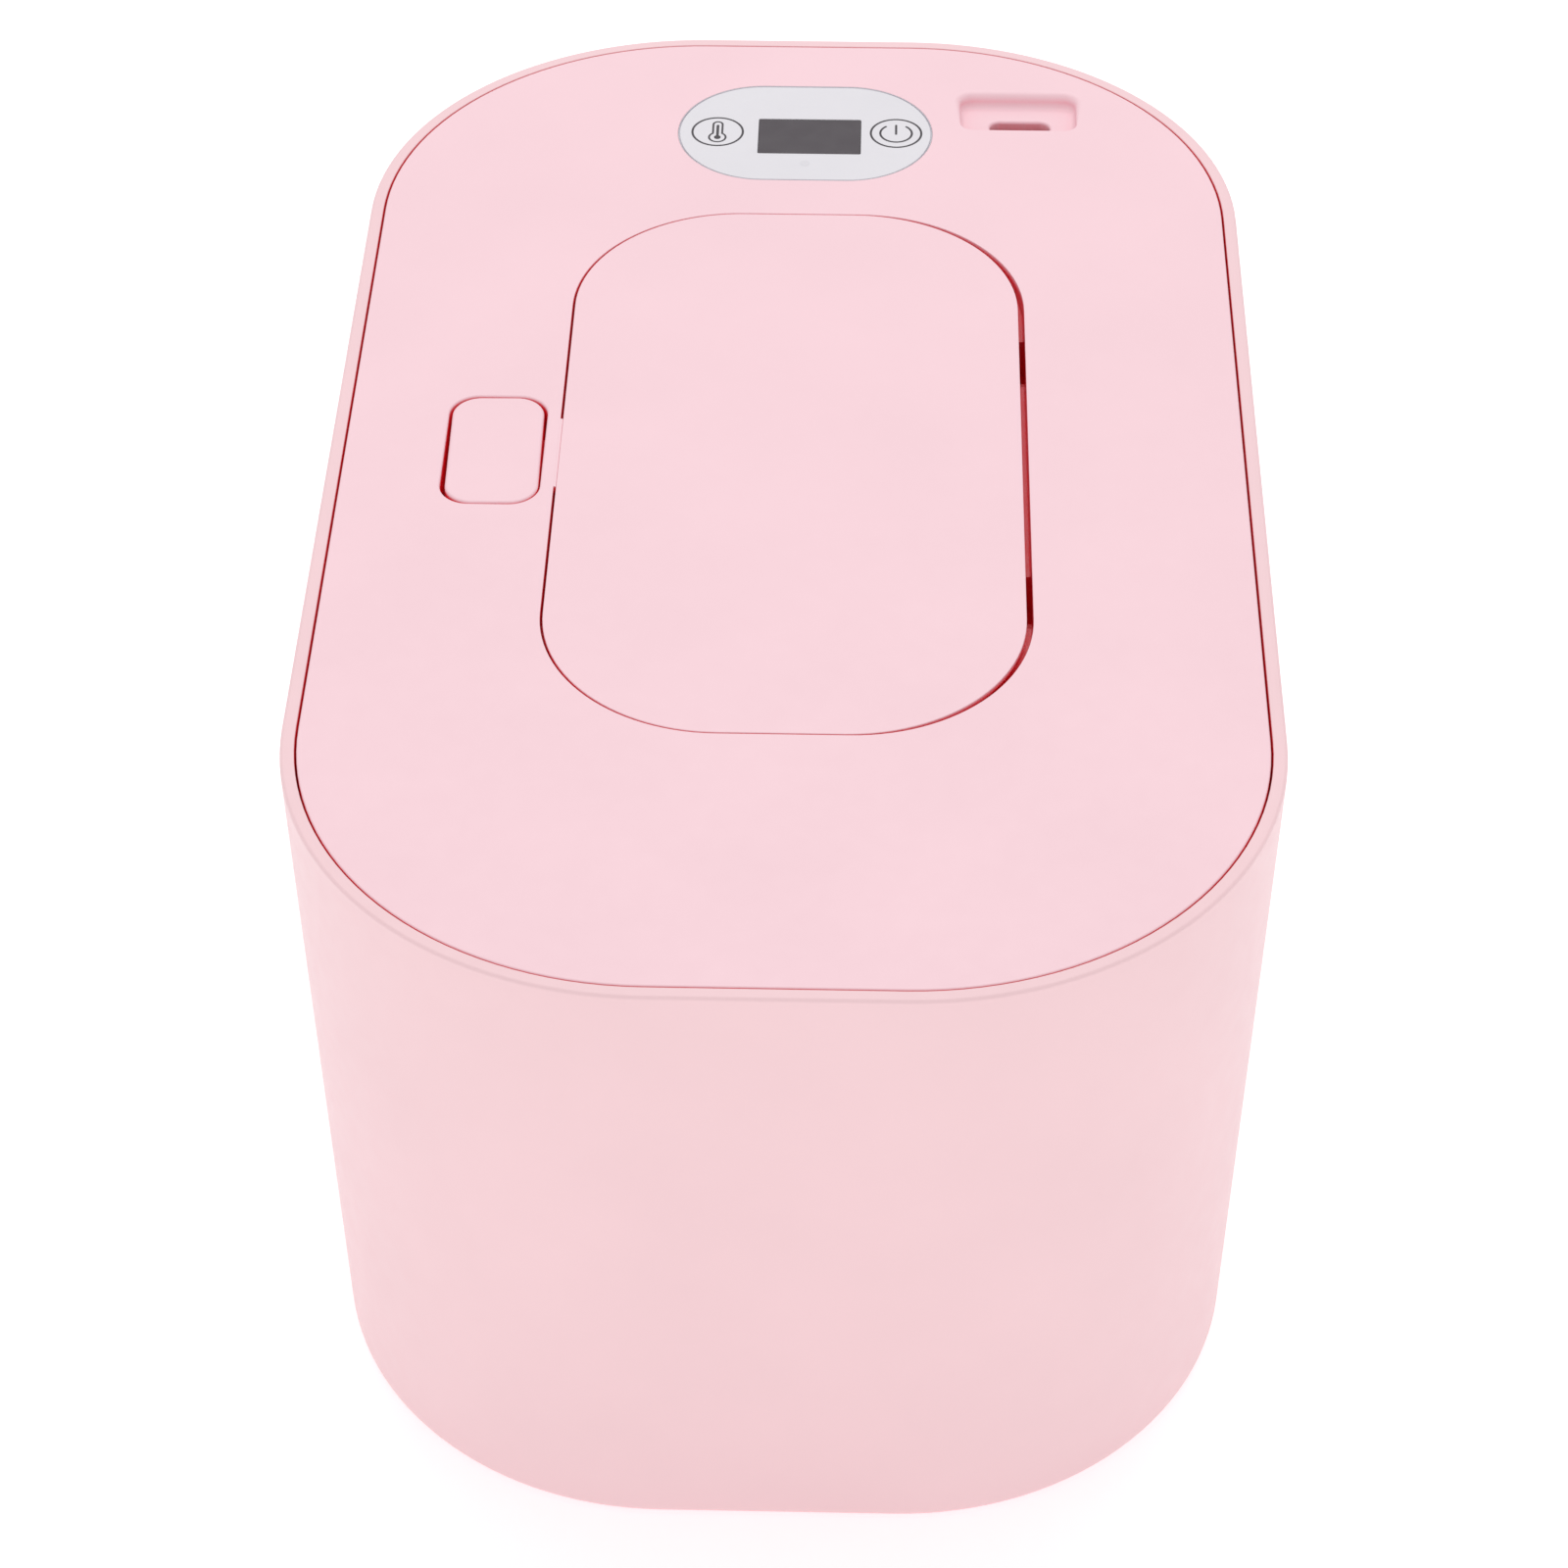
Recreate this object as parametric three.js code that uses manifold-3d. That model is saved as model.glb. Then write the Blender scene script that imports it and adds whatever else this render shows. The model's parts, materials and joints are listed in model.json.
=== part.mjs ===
// Heated wet-wipes box: an oblong tub with a lift-off heated cover. The cover has a sprung flip lid
// that a push button releases, a control panel with two touch keys, and an upright USB-C socket.
//
// Millimetres, +Z up. The origin is on the floor under the middle of the tub. +Y points to the end
// with the control panel, and +X to the side with the flip lid's hinge.

import * as THREE from 'three';
import { mergeVertices } from 'three/addons/utils/BufferGeometryUtils.js';
import Module from 'manifold-3d';

const wasm = await Module();
wasm.setup();

// ---------------------------------------------------------------- driving dimensions

const GAP = 0.3; // clearance between pieces that touch
const TOP = 102; // height of the rim, and of everything flush with it
const CORNER_STEPS = 10; // facets in each quarter turn of a large outline

// The tub's outside at the rim. x and y are half sizes.
const BODY = { x: 65, y: 108.75, radius: 49 };
const BODY_DRAFT = 2.5; // how far the wall leans in at the bottom
const BODY_BASE = 0.8; // the feet hold the tub this far off the floor
const BODY_FLOOR = 3.2; // height of the inside floor
const RIM = 1.9; // thickness of the rim
const LEDGE_DEPTH = 17; // the cover's seal rests on a ledge this far below the rim
const LEDGE_INSET = 3.2; // inside of the ledge, from the tub's outside
const FOOT = { radius: 5, x: 38, y: 80 };

// The cover, inside the rim with a fine gap all round.
const COVER = { x: BODY.x - RIM - GAP, y: BODY.y - RIM - GAP, radius: BODY.radius - RIM - GAP };
const SKIN = 1.8; // thickness of the cover's top and of the flip lid
const SKIRT_DEPTH = 13.4;
const INNER = { top: SKIRT_DEPTH + GAP, bottom: SKIRT_DEPTH + GAP + 1.6 }; // the lower moulding's plate

// The flip lid and the well that it lies in. The gap is wider on the hinge side.
const WELL = { x: 32.93, y: 59.72, radius: 24.2, cx: -0.17, cy: -0.07 };
const WELL_DEPTH = 5;
const WELL_WALL = 1.6;
const LID = { x: 32.31, y: 59.5, radius: 24, cx: -0.44, cy: 0 };
const LID_UNDERCUT = 0.6; // how far its edge leans in below

// The hinge: two swan-neck arms under the lid turn on one pin under the cover's skin.
const PIVOT = { x: 37.2, depth: 4 };
const PIN_RADIUS = 0.9;
const HUB_RADIUS = 1.8;
const PIN_HOLE = 0.99;
const ARM = { inner: 6.3, outer: 8.3, width: 7, y: 27.3, start: 157.5, end: 275, rib: 1.1 };
const SLOT = { left: 28.5, right: 40.4, half: 4, bottom: 12.6, wall: 1.2 };
const PIN_HALF_LENGTH = 33;

// The latch: button, pocket and the catch on the flip lid.
const POCKET = { x: 6.85, y: 12.4, radius: 4.2, cx: -41.85, cy: 0.05 };
const BUTTON = { x: 6.5, y: 12.15, radius: 4, cx: POCKET.cx, cy: POCKET.cy };
const BUTTON_WALL = 1.2;
const BUTTON_DEPTH = 8.5;
const LIP = { tip: -32.87, y: -0.25, half: 7.82, depth: 1.2 };

// The outlet that the wipes are pulled through: half sizes of stadium shapes.
const OUTLET = { x: 15, y: 36, radius: 15 };
const OUTLET_SLOT = { x: 6, y: 25, radius: 6 };
const CHUTE = { x: 15.5, y: 36.5, radius: 15.5 };
const CHUTE_WALL = 1.4;
const CHUTE_TOP = 8;
const CHUTE_BOTTOM = 20.3;

// The heater, from the lower moulding down: insulation, foil heater, aluminium plate.
const HEATER = { x: 44, y: 90, radius: 30 };
const HEATER_PLATE = { top: 18.3, bottom: 19.3 };
const HEATER_SCREW = { x: 32, y: 74 };
const SENSOR = { x: 30, y: -60 };
const CUTOFF = { x: -30, y: 58 };

// The control panel and what is behind it.
const OVERLAY = { x: 19.6, y: 13.2, radius: 13.2, cx: -0.1, cy: 81.9 };
const OVERLAY_THICK = 0.9;
const WINDOW = { x: 7.9, y: 4.83, radius: 0.4, cx: 0.6, cy: 80.9 };
const KEY_LEFT = { x: -13.6, y: 81.9 };
const KEY_RIGHT = { x: 13.9, y: 82 };
const BOARD = { x: 22, y: 14, radius: 1.5, cx: 0, cy: 81.5 };
const BOARD_TOP = 8;
const BOARD_THICK = 1.2;
const BOARD_SCREWS = [[-18.5, 92.5], [18.5, 70.5]];

// The USB-C socket, upright in a shallow recess.
const USB = { x: 33.1, y: 87.4, length: 8.94, width: 3.26, height: 7.3, top: 4.2 };
const USB_RECESS = { x: 8.95, y: 5, radius: 2, cx: 32.8, cy: 88.3 };
const USB_RECESS_DEPTH = 2.2;
const USB_SLOT = { x: 4.9, y: 1.9, radius: 1.9, cx: USB.x, cy: USB.y };

// Screw places, as [x, y].
const COVER_SCREWS = [
  [-50, -72], [50, -72], [-50, 72], [50, 72], [-55.5, 0], [55.5, 0], [0, -99.5], [0, 99.5],
];
const HEATER_SCREWS = [-1, 1].flatMap((sy) => [-1, 1].map((sx) => [sx * HEATER_SCREW.x, sy * HEATER_SCREW.y]));

// ---------------------------------------------------------------- materials

function finish(color, roughness, metalness = 0) {
  return new THREE.MeshStandardMaterial({ color, roughness, metalness });
}

const PINK = finish(0xf6d3d8, 0.45);
const SOFT_PINK = finish(0xf3dcdf, 0.6);
const SILICONE = finish(0xf2ece9, 0.7);
const RUBBER = finish(0x5a5656, 0.9);
const GREY_PANEL = finish(0xe0dde2, 0.4);
const SMOKED = finish(0x575057, 0.25);
const ALUMINIUM = finish(0xc9cbce, 0.4, 1);
const STEEL = finish(0xb4b6ba, 0.3, 1);
const POLYIMIDE = finish(0xc47a2a, 0.5);
const FOAM = finish(0xf4f2ec, 0.95);
const BOARD_GREEN = finish(0x2f6b46, 0.5);
const BLACK = finish(0x222224, 0.5);
const EPOXY = finish(0x3a3a3c, 0.4);
const LEAD = finish(0xa33a34, 0.6);

// ---------------------------------------------------------------- geometry helpers

const rad = THREE.MathUtils.degToRad;
const level = (depth) => TOP - depth; // height of a point that is depth below the rim

// Corner points of a rounded rectangle, anticlockwise. Its straight sides may have no length.
function outline(spec, inset = 0, steps = CORNER_STEPS) {
  const { x, y, radius, cx = 0, cy = 0 } = spec;
  const r = radius - inset;
  const points = [];
  [[1, 1], [-1, 1], [-1, -1], [1, -1]].forEach(([sx, sy], quarter) => {
    for (let i = 0; i <= steps; i += 1) {
      const angle = rad(90 * (quarter + i / steps));
      const point = new THREE.Vector2(
        cx + sx * (x - radius) + r * Math.cos(angle),
        cy + sy * (y - radius) + r * Math.sin(angle),
      );
      if (!points.length || point.distanceTo(points.at(-1)) > 1e-6) points.push(point);
    }
  });
  if (points[0].distanceTo(points.at(-1)) < 1e-6) points.pop();
  return points;
}

// A closed solid as a manifold, ready to be joined or cut.
function solid(geometry) {
  const bare = geometry.clone();
  for (const name of ['normal', 'uv']) bare.deleteAttribute(name);
  const merged = mergeVertices(bare, 1e-5);
  return new wasm.Manifold(new wasm.Mesh({
    numProp: 3,
    vertProperties: new Float32Array(merged.attributes.position.array),
    triVerts: new Uint32Array(merged.index.array),
  }));
}

function geometryOf(body) {
  const mesh = body.getMesh();
  const geometry = new THREE.BufferGeometry();
  geometry.setAttribute('position', new THREE.BufferAttribute(mesh.vertProperties, 3));
  geometry.setIndex(new THREE.BufferAttribute(mesh.triVerts, 1));
  geometry.computeVertexNormals();
  return geometry;
}

// An upright prism on a flat outline, between two depths below the rim.
function prism(points, upper, lower) {
  const geometry = new THREE.ExtrudeGeometry(new THREE.Shape(points), {
    depth: lower - upper, bevelEnabled: false,
  });
  return solid(geometry.translate(0, 0, level(lower)));
}

const plate = (spec, upper, lower, inset = 0, steps = CORNER_STEPS) => (
  prism(outline(spec, inset, steps), upper, lower));

// The wall between two insets of one outline, between two depths.
function wall(spec, outerInset, innerInset, upper, lower, steps = CORNER_STEPS) {
  return plate(spec, upper, lower, outerInset, steps)
    .subtract(plate(spec, upper - 1, lower + 1, innerInset, steps));
}

function block(x0, x1, y0, y1, upper, lower) {
  const geometry = new THREE.BoxGeometry(x1 - x0, y1 - y0, lower - upper);
  return solid(geometry.translate((x0 + x1) / 2, (y0 + y1) / 2, level((upper + lower) / 2)));
}

// An upright cylinder at (x, y) between two depths.
function post(x, y, radius, upper, lower, sides = 12) {
  const geometry = new THREE.CylinderGeometry(radius, radius, lower - upper, sides);
  return solid(geometry.rotateX(Math.PI / 2).translate(x, y, level((upper + lower) / 2)));
}

// A cylinder along Y on the hinge axis.
function axleRod(radius, y0, y1, sides = 24) {
  const geometry = new THREE.CylinderGeometry(radius, radius, y1 - y0, sides);
  return solid(geometry.translate(PIVOT.x, (y0 + y1) / 2, level(PIVOT.depth)));
}

// A solid with the same rounded outline at every height. Each step of the profile is
// [inset from the outline, height]; the first and last steps are closed by flat faces.
function turned(spec, profile, steps = CORNER_STEPS) {
  const rings = profile.map(([inset, z]) => outline(spec, inset, steps).map((p) => [p.x, p.y, z]));
  const count = rings[0].length;
  const positions = rings.flat(2);
  const index = [];
  for (let k = 0; k + 1 < rings.length; k += 1) {
    for (let i = 0; i < count; i += 1) {
      const a = k * count + i;
      const b = k * count + ((i + 1) % count);
      index.push(a, b, b + count, a, b + count, a + count);
    }
  }
  const last = (rings.length - 1) * count;
  for (let i = 1; i + 1 < count; i += 1) {
    index.push(0, i + 1, i, last, last + i, last + i + 1);
  }
  const geometry = new THREE.BufferGeometry();
  geometry.setAttribute('position', new THREE.Float32BufferAttribute(positions, 3));
  geometry.setIndex(index);
  return solid(geometry);
}

// A revolved solid about an upright axis at (x, y). Profile points are [radius, height].
function lathe(profile, x, y, sides = 14) {
  const points = profile.map(([radius, z]) => new THREE.Vector2(radius, z));
  const geometry = new THREE.LatheGeometry(points, sides);
  return solid(geometry.rotateX(Math.PI / 2).translate(x, y, 0));
}

// A round wire along a smooth curve.
function wire(curve, radius, steps, sides = 6) {
  const section = new THREE.Shape();
  for (let i = 0; i < sides; i += 1) {
    const angle = (2 * Math.PI * i) / sides;
    const place = [radius * Math.cos(angle), radius * Math.sin(angle)];
    if (i === 0) section.moveTo(...place);
    else section.lineTo(...place);
  }
  section.closePath();
  return solid(new THREE.ExtrudeGeometry(section, { steps, extrudePath: curve, bevelEnabled: false }));
}

// An upright coil spring between two depths, open at its ends.
class Coil extends THREE.Curve {
  constructor(x, y, radius, upper, lower, turns) {
    super();
    Object.assign(this, { x, y, radius, upper, lower, turns });
  }

  getPoint(t, target = new THREE.Vector3()) {
    const angle = 2 * Math.PI * this.turns * t;
    return target.set(
      this.x + this.radius * Math.cos(angle),
      this.y + this.radius * Math.sin(angle),
      level(THREE.MathUtils.lerp(this.lower, this.upper, t)),
    );
  }
}

function coilSpring(x, y, radius, wireRadius, upper, lower, turns) {
  const curve = new Coil(x, y, radius, upper + wireRadius, lower - wireRadius, turns);
  return wire(curve, wireRadius, Math.round(turns * 10), 5);
}

const through = (points) => new THREE.CatmullRomCurve3(
  points.map(([x, y, depth]) => new THREE.Vector3(x, y, level(depth))), false, 'centripetal');

// ---------------------------------------------------------------- assembly tree

const wipesWarmer = new THREE.Group();
const tub = new THREE.Group();
const cover = new THREE.Group();
const lid = new THREE.Group();
const latch = new THREE.Group();
cover.add(lid, latch);
wipesWarmer.add(tub, cover);

function addPiece(group, name, material, body) {
  const mesh = new THREE.Mesh(geometryOf(body), material);
  mesh.name = name;
  group.add(mesh);
}

// ---------------------------------------------------------------- tub

function bodyShell() {
  const bottom = BODY_DRAFT;
  const profile = [
    [bottom + 1.2, BODY_BASE],
    [bottom, BODY_BASE + 1.2],
    [0, level(1.2)],
    [0.35, level(0.35)],
    [1.2, level(0)],
    [RIM, level(0)],
    [RIM, level(LEDGE_DEPTH)],
    [LEDGE_INSET, level(LEDGE_DEPTH)],
    [bottom + 3, BODY_FLOOR + 2],
    [bottom + 5, BODY_FLOOR],
  ];
  let shell = turned(BODY, profile);
  for (const [x, y] of footPlaces()) {
    const pocketTop = BODY_BASE + 1.2;
    shell = shell.subtract(post(x, y, FOOT.radius + GAP, level(pocketTop), level(-1), 16));
  }
  return shell;
}

function footPlaces() {
  return [[-FOOT.x, -FOOT.y], [FOOT.x, -FOOT.y], [-FOOT.x, FOOT.y], [FOOT.x, FOOT.y]];
}

function foot(x, y) {
  const top = BODY_BASE + 1.2 - GAP;
  const profile = [[0, 0], [FOOT.radius - 0.6, 0], [FOOT.radius, 0.5], [FOOT.radius, top], [0, top]];
  return lathe(profile, x, y, 16);
}

// ---------------------------------------------------------------- cover: upper moulding

// Inverted tray with a skirt, chamfered at its top edge.
function coverTray() {
  const edge = 0.4;
  return turned(COVER, [
    [SKIN, level(SKIN)],
    [SKIN, level(SKIRT_DEPTH)],
    [0, level(SKIRT_DEPTH)],
    [0, level(edge)],
    [edge, level(0)],
  ]);
}

function hingeHousing(side) {
  const y = side * ARM.y;
  const half = SLOT.half + SLOT.wall;
  return block(SLOT.left - SLOT.wall, SLOT.right + SLOT.wall, y - half, y + half, 1, SKIRT_DEPTH);
}

function hingeSlot(side) {
  const y = side * ARM.y;
  return block(SLOT.left, SLOT.right, y - SLOT.half, y + SLOT.half, SKIN, SLOT.bottom);
}

function coverPanel() {
  const screwTop = 5; // blind end of the screw holes
  let panel = coverTray()
    .add(plate(WELL, 1, WELL_DEPTH + WELL_WALL, -WELL_WALL))
    .add(hingeHousing(-1))
    .add(hingeHousing(1))
    .add(plate(POCKET, 1, 9.5, -1.3, 5))
    .add(plate(OVERLAY, 1, 2.8, -2, 8))
    .add(plate(USB_RECESS, 1, USB_RECESS_DEPTH + 1.7, -1.6, 5));
  for (const [x, y] of COVER_SCREWS) panel = panel.add(post(x, y, 3, 1, SKIRT_DEPTH));
  for (const [x, y] of BOARD_SCREWS) panel = panel.add(post(x, y, 2.2, 1, BOARD_TOP - GAP));

  panel = panel
    .subtract(plate(WELL, -1, WELL_DEPTH))
    .subtract(hingeSlot(-1))
    .subtract(hingeSlot(1))
    .subtract(axleRod(PIN_HOLE, -PIN_HALF_LENGTH - 1, PIN_HALF_LENGTH + 1))
    .subtract(plate(OUTLET, WELL_DEPTH - 1, WELL_DEPTH + WELL_WALL + 1, 0, 8))
    .subtract(plate(POCKET, -1, 11, 0, 5))
    .subtract(plate(OVERLAY, -1, OVERLAY_THICK + GAP, -0.2, 8))
    .subtract(plate(WINDOW, 0.5, 4, -GAP, 2))
    .subtract(post(KEY_LEFT.x, KEY_LEFT.y, 3.8, 0.5, 4))
    .subtract(post(KEY_RIGHT.x, KEY_RIGHT.y, 3.8, 0.5, 4))
    .subtract(plate(USB_RECESS, -1, USB_RECESS_DEPTH, 0, 5))
    .subtract(plate(USB_SLOT, 1, 6, 0, 5))
    .subtract(block(POCKET.cx, WELL.cx - WELL.x + 0.2, -6.6, 6.6, 2.4, 4.9))
    .subtract(block(POCKET.cx - POCKET.x - 2, POCKET.cx, -4, 4, 5, 8));
  for (const [x, y] of COVER_SCREWS) panel = panel.subtract(post(x, y, 1.3, screwTop, 15, 8));
  for (const [x, y] of BOARD_SCREWS) panel = panel.subtract(post(x, y, 1, 4, 9, 10));

  // Fixed lip that the flip lid's catch snaps under.
  const wellLeft = WELL.cx - WELL.x;
  return panel.add(block(wellLeft - 0.3, LIP.tip, LIP.y - LIP.half, LIP.y + LIP.half, 0, LIP.depth));
}

// ---------------------------------------------------------------- cover: lower moulding and seals

function coverInner() {
  let inner = plate(COVER, INNER.top, INNER.bottom)
    .add(wall(COVER, 2.7, 3.9, INNER.bottom - 0.5, LEDGE_DEPTH))
    .add(wall(HEATER, -GAP - 1.4, -GAP, INNER.bottom - 0.5, HEATER_PLATE.bottom))
    .add(plate(CHUTE, CHUTE_TOP, CHUTE_BOTTOM, -CHUTE_WALL, 8))
    .add(post(POCKET.cx, POCKET.cy, 1.8, 9, INNER.top + 0.5));
  for (const [x, y] of COVER_SCREWS) inner = inner.add(post(x, y, 4, INNER.bottom - 0.5, 17.8));
  for (const [x, y] of HEATER_SCREWS) inner = inner.add(post(x, y, 2.6, 10.5, 18));

  inner = inner
    .subtract(plate(CHUTE, CHUTE_TOP - 1, CHUTE_BOTTOM + 1, 0, 8))
    .subtract(block(CUTOFF.x - 8, CUTOFF.x + 8, CUTOFF.y - 4, CUTOFF.y + 4, 12, 17))
    .subtract(post(SENSOR.x, SENSOR.y, 1.8, 12, 17))
    .subtract(post(-18, 64, 1.8, 12, 17));
  for (const [x, y] of COVER_SCREWS) {
    inner = inner.subtract(post(x, y, 2.7, 15.7, 19)).subtract(post(x, y, 1.5, 12, 19, 8));
  }
  for (const [x, y] of HEATER_SCREWS) inner = inner.subtract(post(x, y, 1.3, 11.5, 19, 8));
  return inner;
}

const coverSeal = () => wall(COVER, 0.1, 2.4, INNER.bottom + GAP, LEDGE_DEPTH - GAP);

// Two flanges clip over the edge of the well's floor; the web between them has the slot.
function outletRing() {
  const floorUnder = WELL_DEPTH + WELL_WALL;
  return plate(OUTLET, WELL_DEPTH - 1.1, WELL_DEPTH - GAP, -1.6, 8)
    .add(plate(OUTLET, WELL_DEPTH - 1, floorUnder + 1, GAP, 8))
    .add(plate(OUTLET, floorUnder + GAP, floorUnder + 1.1, -1.6, 8))
    .subtract(plate(OUTLET, WELL_DEPTH - 2, WELL_DEPTH + 0.4, 1.2, 8))
    .subtract(plate(OUTLET, WELL_DEPTH + 1.4, floorUnder + 2, 1.2, 8))
    .subtract(plate(OUTLET_SLOT, WELL_DEPTH - 2, floorUnder + 2, 0, 6));
}

// ---------------------------------------------------------------- heater

function heaterHoles(layer, holeRadius, chuteClearance) {
  let cut = layer.subtract(plate(CHUTE, 14, 22, -CHUTE_WALL - chuteClearance, 8));
  for (const [x, y] of HEATER_SCREWS) cut = cut.subtract(post(x, y, holeRadius, 14, 22, 12));
  return cut;
}

const heaterPlate = () => heaterHoles(
  plate(HEATER, HEATER_PLATE.top, HEATER_PLATE.bottom, 0, 8), 1.5, GAP);

function heaterFilm() {
  const film = plate(HEATER, HEATER_PLATE.top - 0.6, HEATER_PLATE.top - GAP, 3, 8);
  return heaterHoles(film, 2.9, 2)
    .subtract(block(SENSOR.x - 3, SENSOR.x + 3, SENSOR.y - 2.5, SENSOR.y + 2.5, 14, 20));
}

function insulationPad() {
  const pad = plate(HEATER, INNER.bottom + GAP, HEATER_PLATE.top - 0.9, 1, 8);
  return heaterHoles(pad, 2.9, 0.6)
    .subtract(block(SENSOR.x - 3, SENSOR.x + 3, SENSOR.y - 2.5, SENSOR.y + 2.5, 14, 20))
    .subtract(block(CUTOFF.x - 8, CUTOFF.x + 8, CUTOFF.y - 4, CUTOFF.y + 4, 14, 20))
    .subtract(post(-18, 64, 1.8, 14, 20));
}

const ntcSensor = () => block(SENSOR.x - 2, SENSOR.x + 2, SENSOR.y - 1.5, SENSOR.y + 1.5, 16.2, 18);
const thermalCutoff = () => block(CUTOFF.x - 7.5, CUTOFF.x + 7.5, CUTOFF.y - 3.5, CUTOFF.y + 3.5, 14, 17.4);

// ---------------------------------------------------------------- electronics

function controlBoard() {
  let board = plate(BOARD, BOARD_TOP, BOARD_TOP + BOARD_THICK, 0, 3);
  for (const [x, y] of BOARD_SCREWS) board = board.subtract(post(x, y, 1.3, 7, 11, 10));
  return board;
}

function displayOverlay() {
  return plate(OVERLAY, 0, OVERLAY_THICK, 0, 12).subtract(plate(WINDOW, -1, 2, 0, 2));
}

const displayWindow = () => plate(WINDOW, 0.05, OVERLAY_THICK, 0.1, 2);
const ledDisplay = () => block(WINDOW.cx - 7.6, WINDOW.cx + 7.6, WINDOW.cy - 4.6, WINDOW.cy + 4.6, 1.5, 7.7);
const controlChip = () => block(-5, 5, 84, 88, BOARD_TOP + BOARD_THICK + GAP, 11);
const touchSpring = (key) => coilSpring(key.x, key.y, 2.8, 0.4, OVERLAY_THICK + GAP, BOARD_TOP - GAP, 4);

// Steel shell with its mouth up and the contact tongue inside.
function usbSocket() {
  const shape = { x: USB.length / 2, y: USB.width / 2, radius: USB.width / 2, cx: USB.x, cy: USB.y };
  const bottom = USB.top + USB.height;
  return plate(shape, USB.top, bottom, 0, 4)
    .subtract(plate(shape, USB.top - 1, bottom - 1, 0.3, 4))
    .add(block(USB.x - 3.1, USB.x + 3.1, USB.y - 0.35, USB.y + 0.35, USB.top + 0.8, bottom - 0.5));
}

function usbBoard() {
  const top = USB.top + USB.height + GAP;
  return plate({ x: 11, y: 6, radius: 1, cx: USB.x, cy: USB.y }, top, top + BOARD_THICK, 0, 3);
}

// ---------------------------------------------------------------- screws and leads

// Pan-head screw pointing up, with a cross recess in its head.
function panScrew(x, y, headTop, headRadius, shaftRadius, tip) {
  const headBottom = headTop + 1.6;
  const screw = lathe([
    [0, level(headBottom)],
    [headRadius - 0.4, level(headBottom)],
    [headRadius, level(headTop)],
    [shaftRadius, level(headTop)],
    [shaftRadius, level(tip + 1.2)],
    [0, level(tip)],
  ], x, y, 10);
  const arm = headRadius * 0.55;
  const recess = headBottom - 0.8;
  return screw
    .subtract(block(x - arm, x + arm, y - 0.25, y + 0.25, recess, headBottom + 1))
    .subtract(block(x - 0.25, x + 0.25, y - arm, y + arm, recess, headBottom + 1));
}

function leads() {
  const boardUnder = BOARD_TOP + BOARD_THICK + 0.9;
  return {
    usb_lead: through([
      [28, 91.5, 11], [25, 91.5, 10.5], [21, 91.5, 10.6], [17, 91, boardUnder],
    ]),
    heater_lead: through([
      [-18, 64, 16.8], [-18, 64, 13.5], [-17, 66, 11], [-16, 71, boardUnder + 0.3], [-15, 75, boardUnder],
    ]),
    cutoff_lead: through([
      [-26, 58, 13.2], [-24, 60, 11.5], [-21, 66, 10.9], [-20, 73, boardUnder + 0.2], [-19, 77, boardUnder],
    ]),
    sensor_lead: through([
      [30, -60, 15.4], [29.6, -59, 12], [26, -52, 10.4], [22, -42, 10.2], [22, 0, 10.2],
      [22, 42, 10.2], [18, 60, 10.4], [15, 71, boardUnder + 0.2], [14, 76, boardUnder],
    ]),
  };
}

// ---------------------------------------------------------------- flip lid, hinge and spring

// One swan-neck arm, drawn in the plane across the hinge pin and extruded along it.
function hingeArm(side) {
  const band = new THREE.Shape();
  band.absarc(0, 0, ARM.outer, rad(ARM.start), rad(ARM.end + 8), false);
  band.absarc(0, 0, ARM.inner, rad(ARM.end + 8), rad(ARM.start), true);
  const bandBody = acrossHinge(band, side * ARM.y, ARM.width);

  // The rib and hub are narrower on the spring's side, to leave room for its coil.
  const narrow = side > 0 ? 4.2 : ARM.width;
  const middle = side > 0 ? ARM.y + (ARM.width - narrow) / 2 : side * ARM.y;
  const along = new THREE.Vector2(Math.cos(rad(ARM.end)), Math.sin(rad(ARM.end)));
  const across = new THREE.Vector2(-along.y, along.x).multiplyScalar(ARM.rib);
  const reach = (ARM.inner + ARM.outer) / 2;
  const rib = new THREE.Shape([
    across.clone().negate(),
    along.clone().multiplyScalar(reach).sub(across),
    along.clone().multiplyScalar(reach).add(across),
    across.clone(),
  ]);
  return bandBody
    .add(acrossHinge(rib, middle, narrow))
    .add(axleRod(HUB_RADIUS, middle - narrow / 2, middle + narrow / 2))
    .subtract(axleRod(PIN_HOLE, middle - ARM.width, middle + ARM.width));
}

function acrossHinge(shape, y, width) {
  const geometry = new THREE.ExtrudeGeometry(shape, {
    depth: width, bevelEnabled: false, curveSegments: 10,
  });
  return solid(geometry.rotateX(Math.PI / 2).translate(PIVOT.x, y + width / 2, level(PIVOT.depth)));
}

// Lid plate. Its edge leans under all round, so that it clears the cover while it turns.
function lidPlate() {
  const edge = 0.4;
  return turned(LID, [[LID_UNDERCUT, level(SKIN)], [0, level(edge)], [edge, level(0)]]);
}

function flipLid() {
  const catchDepth = 4.4;
  const left = LID.cx - LID.x;
  let lidBody = lidPlate()
    .add(hingeArm(-1))
    .add(hingeArm(1))
    .add(wall({ x: 22.7, y: 43.7, radius: 22.7 }, 0, 0.9, SKIN - 0.5, 3, 8))
    .add(wall({ x: 19.3, y: 40.3, radius: 19.3 }, 0, 0.9, SKIN - 0.5, 3, 8));
  // Catch: a short rib with a nose that points at the button.
  lidBody = lidBody
    .add(block(left + 0.6, left + 1.6, -6, 6, SKIN - 0.5, catchDepth))
    .add(block(left + 0.15, left + 1, -6, 6, catchDepth - 0.9, catchDepth));
  return lidBody;
}

const flipGasket = () => wall({ x: 21.5, y: 42.5, radius: 21.5 }, 0, 1.9, SKIN + GAP, WELL_DEPTH - GAP, 8);

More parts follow.
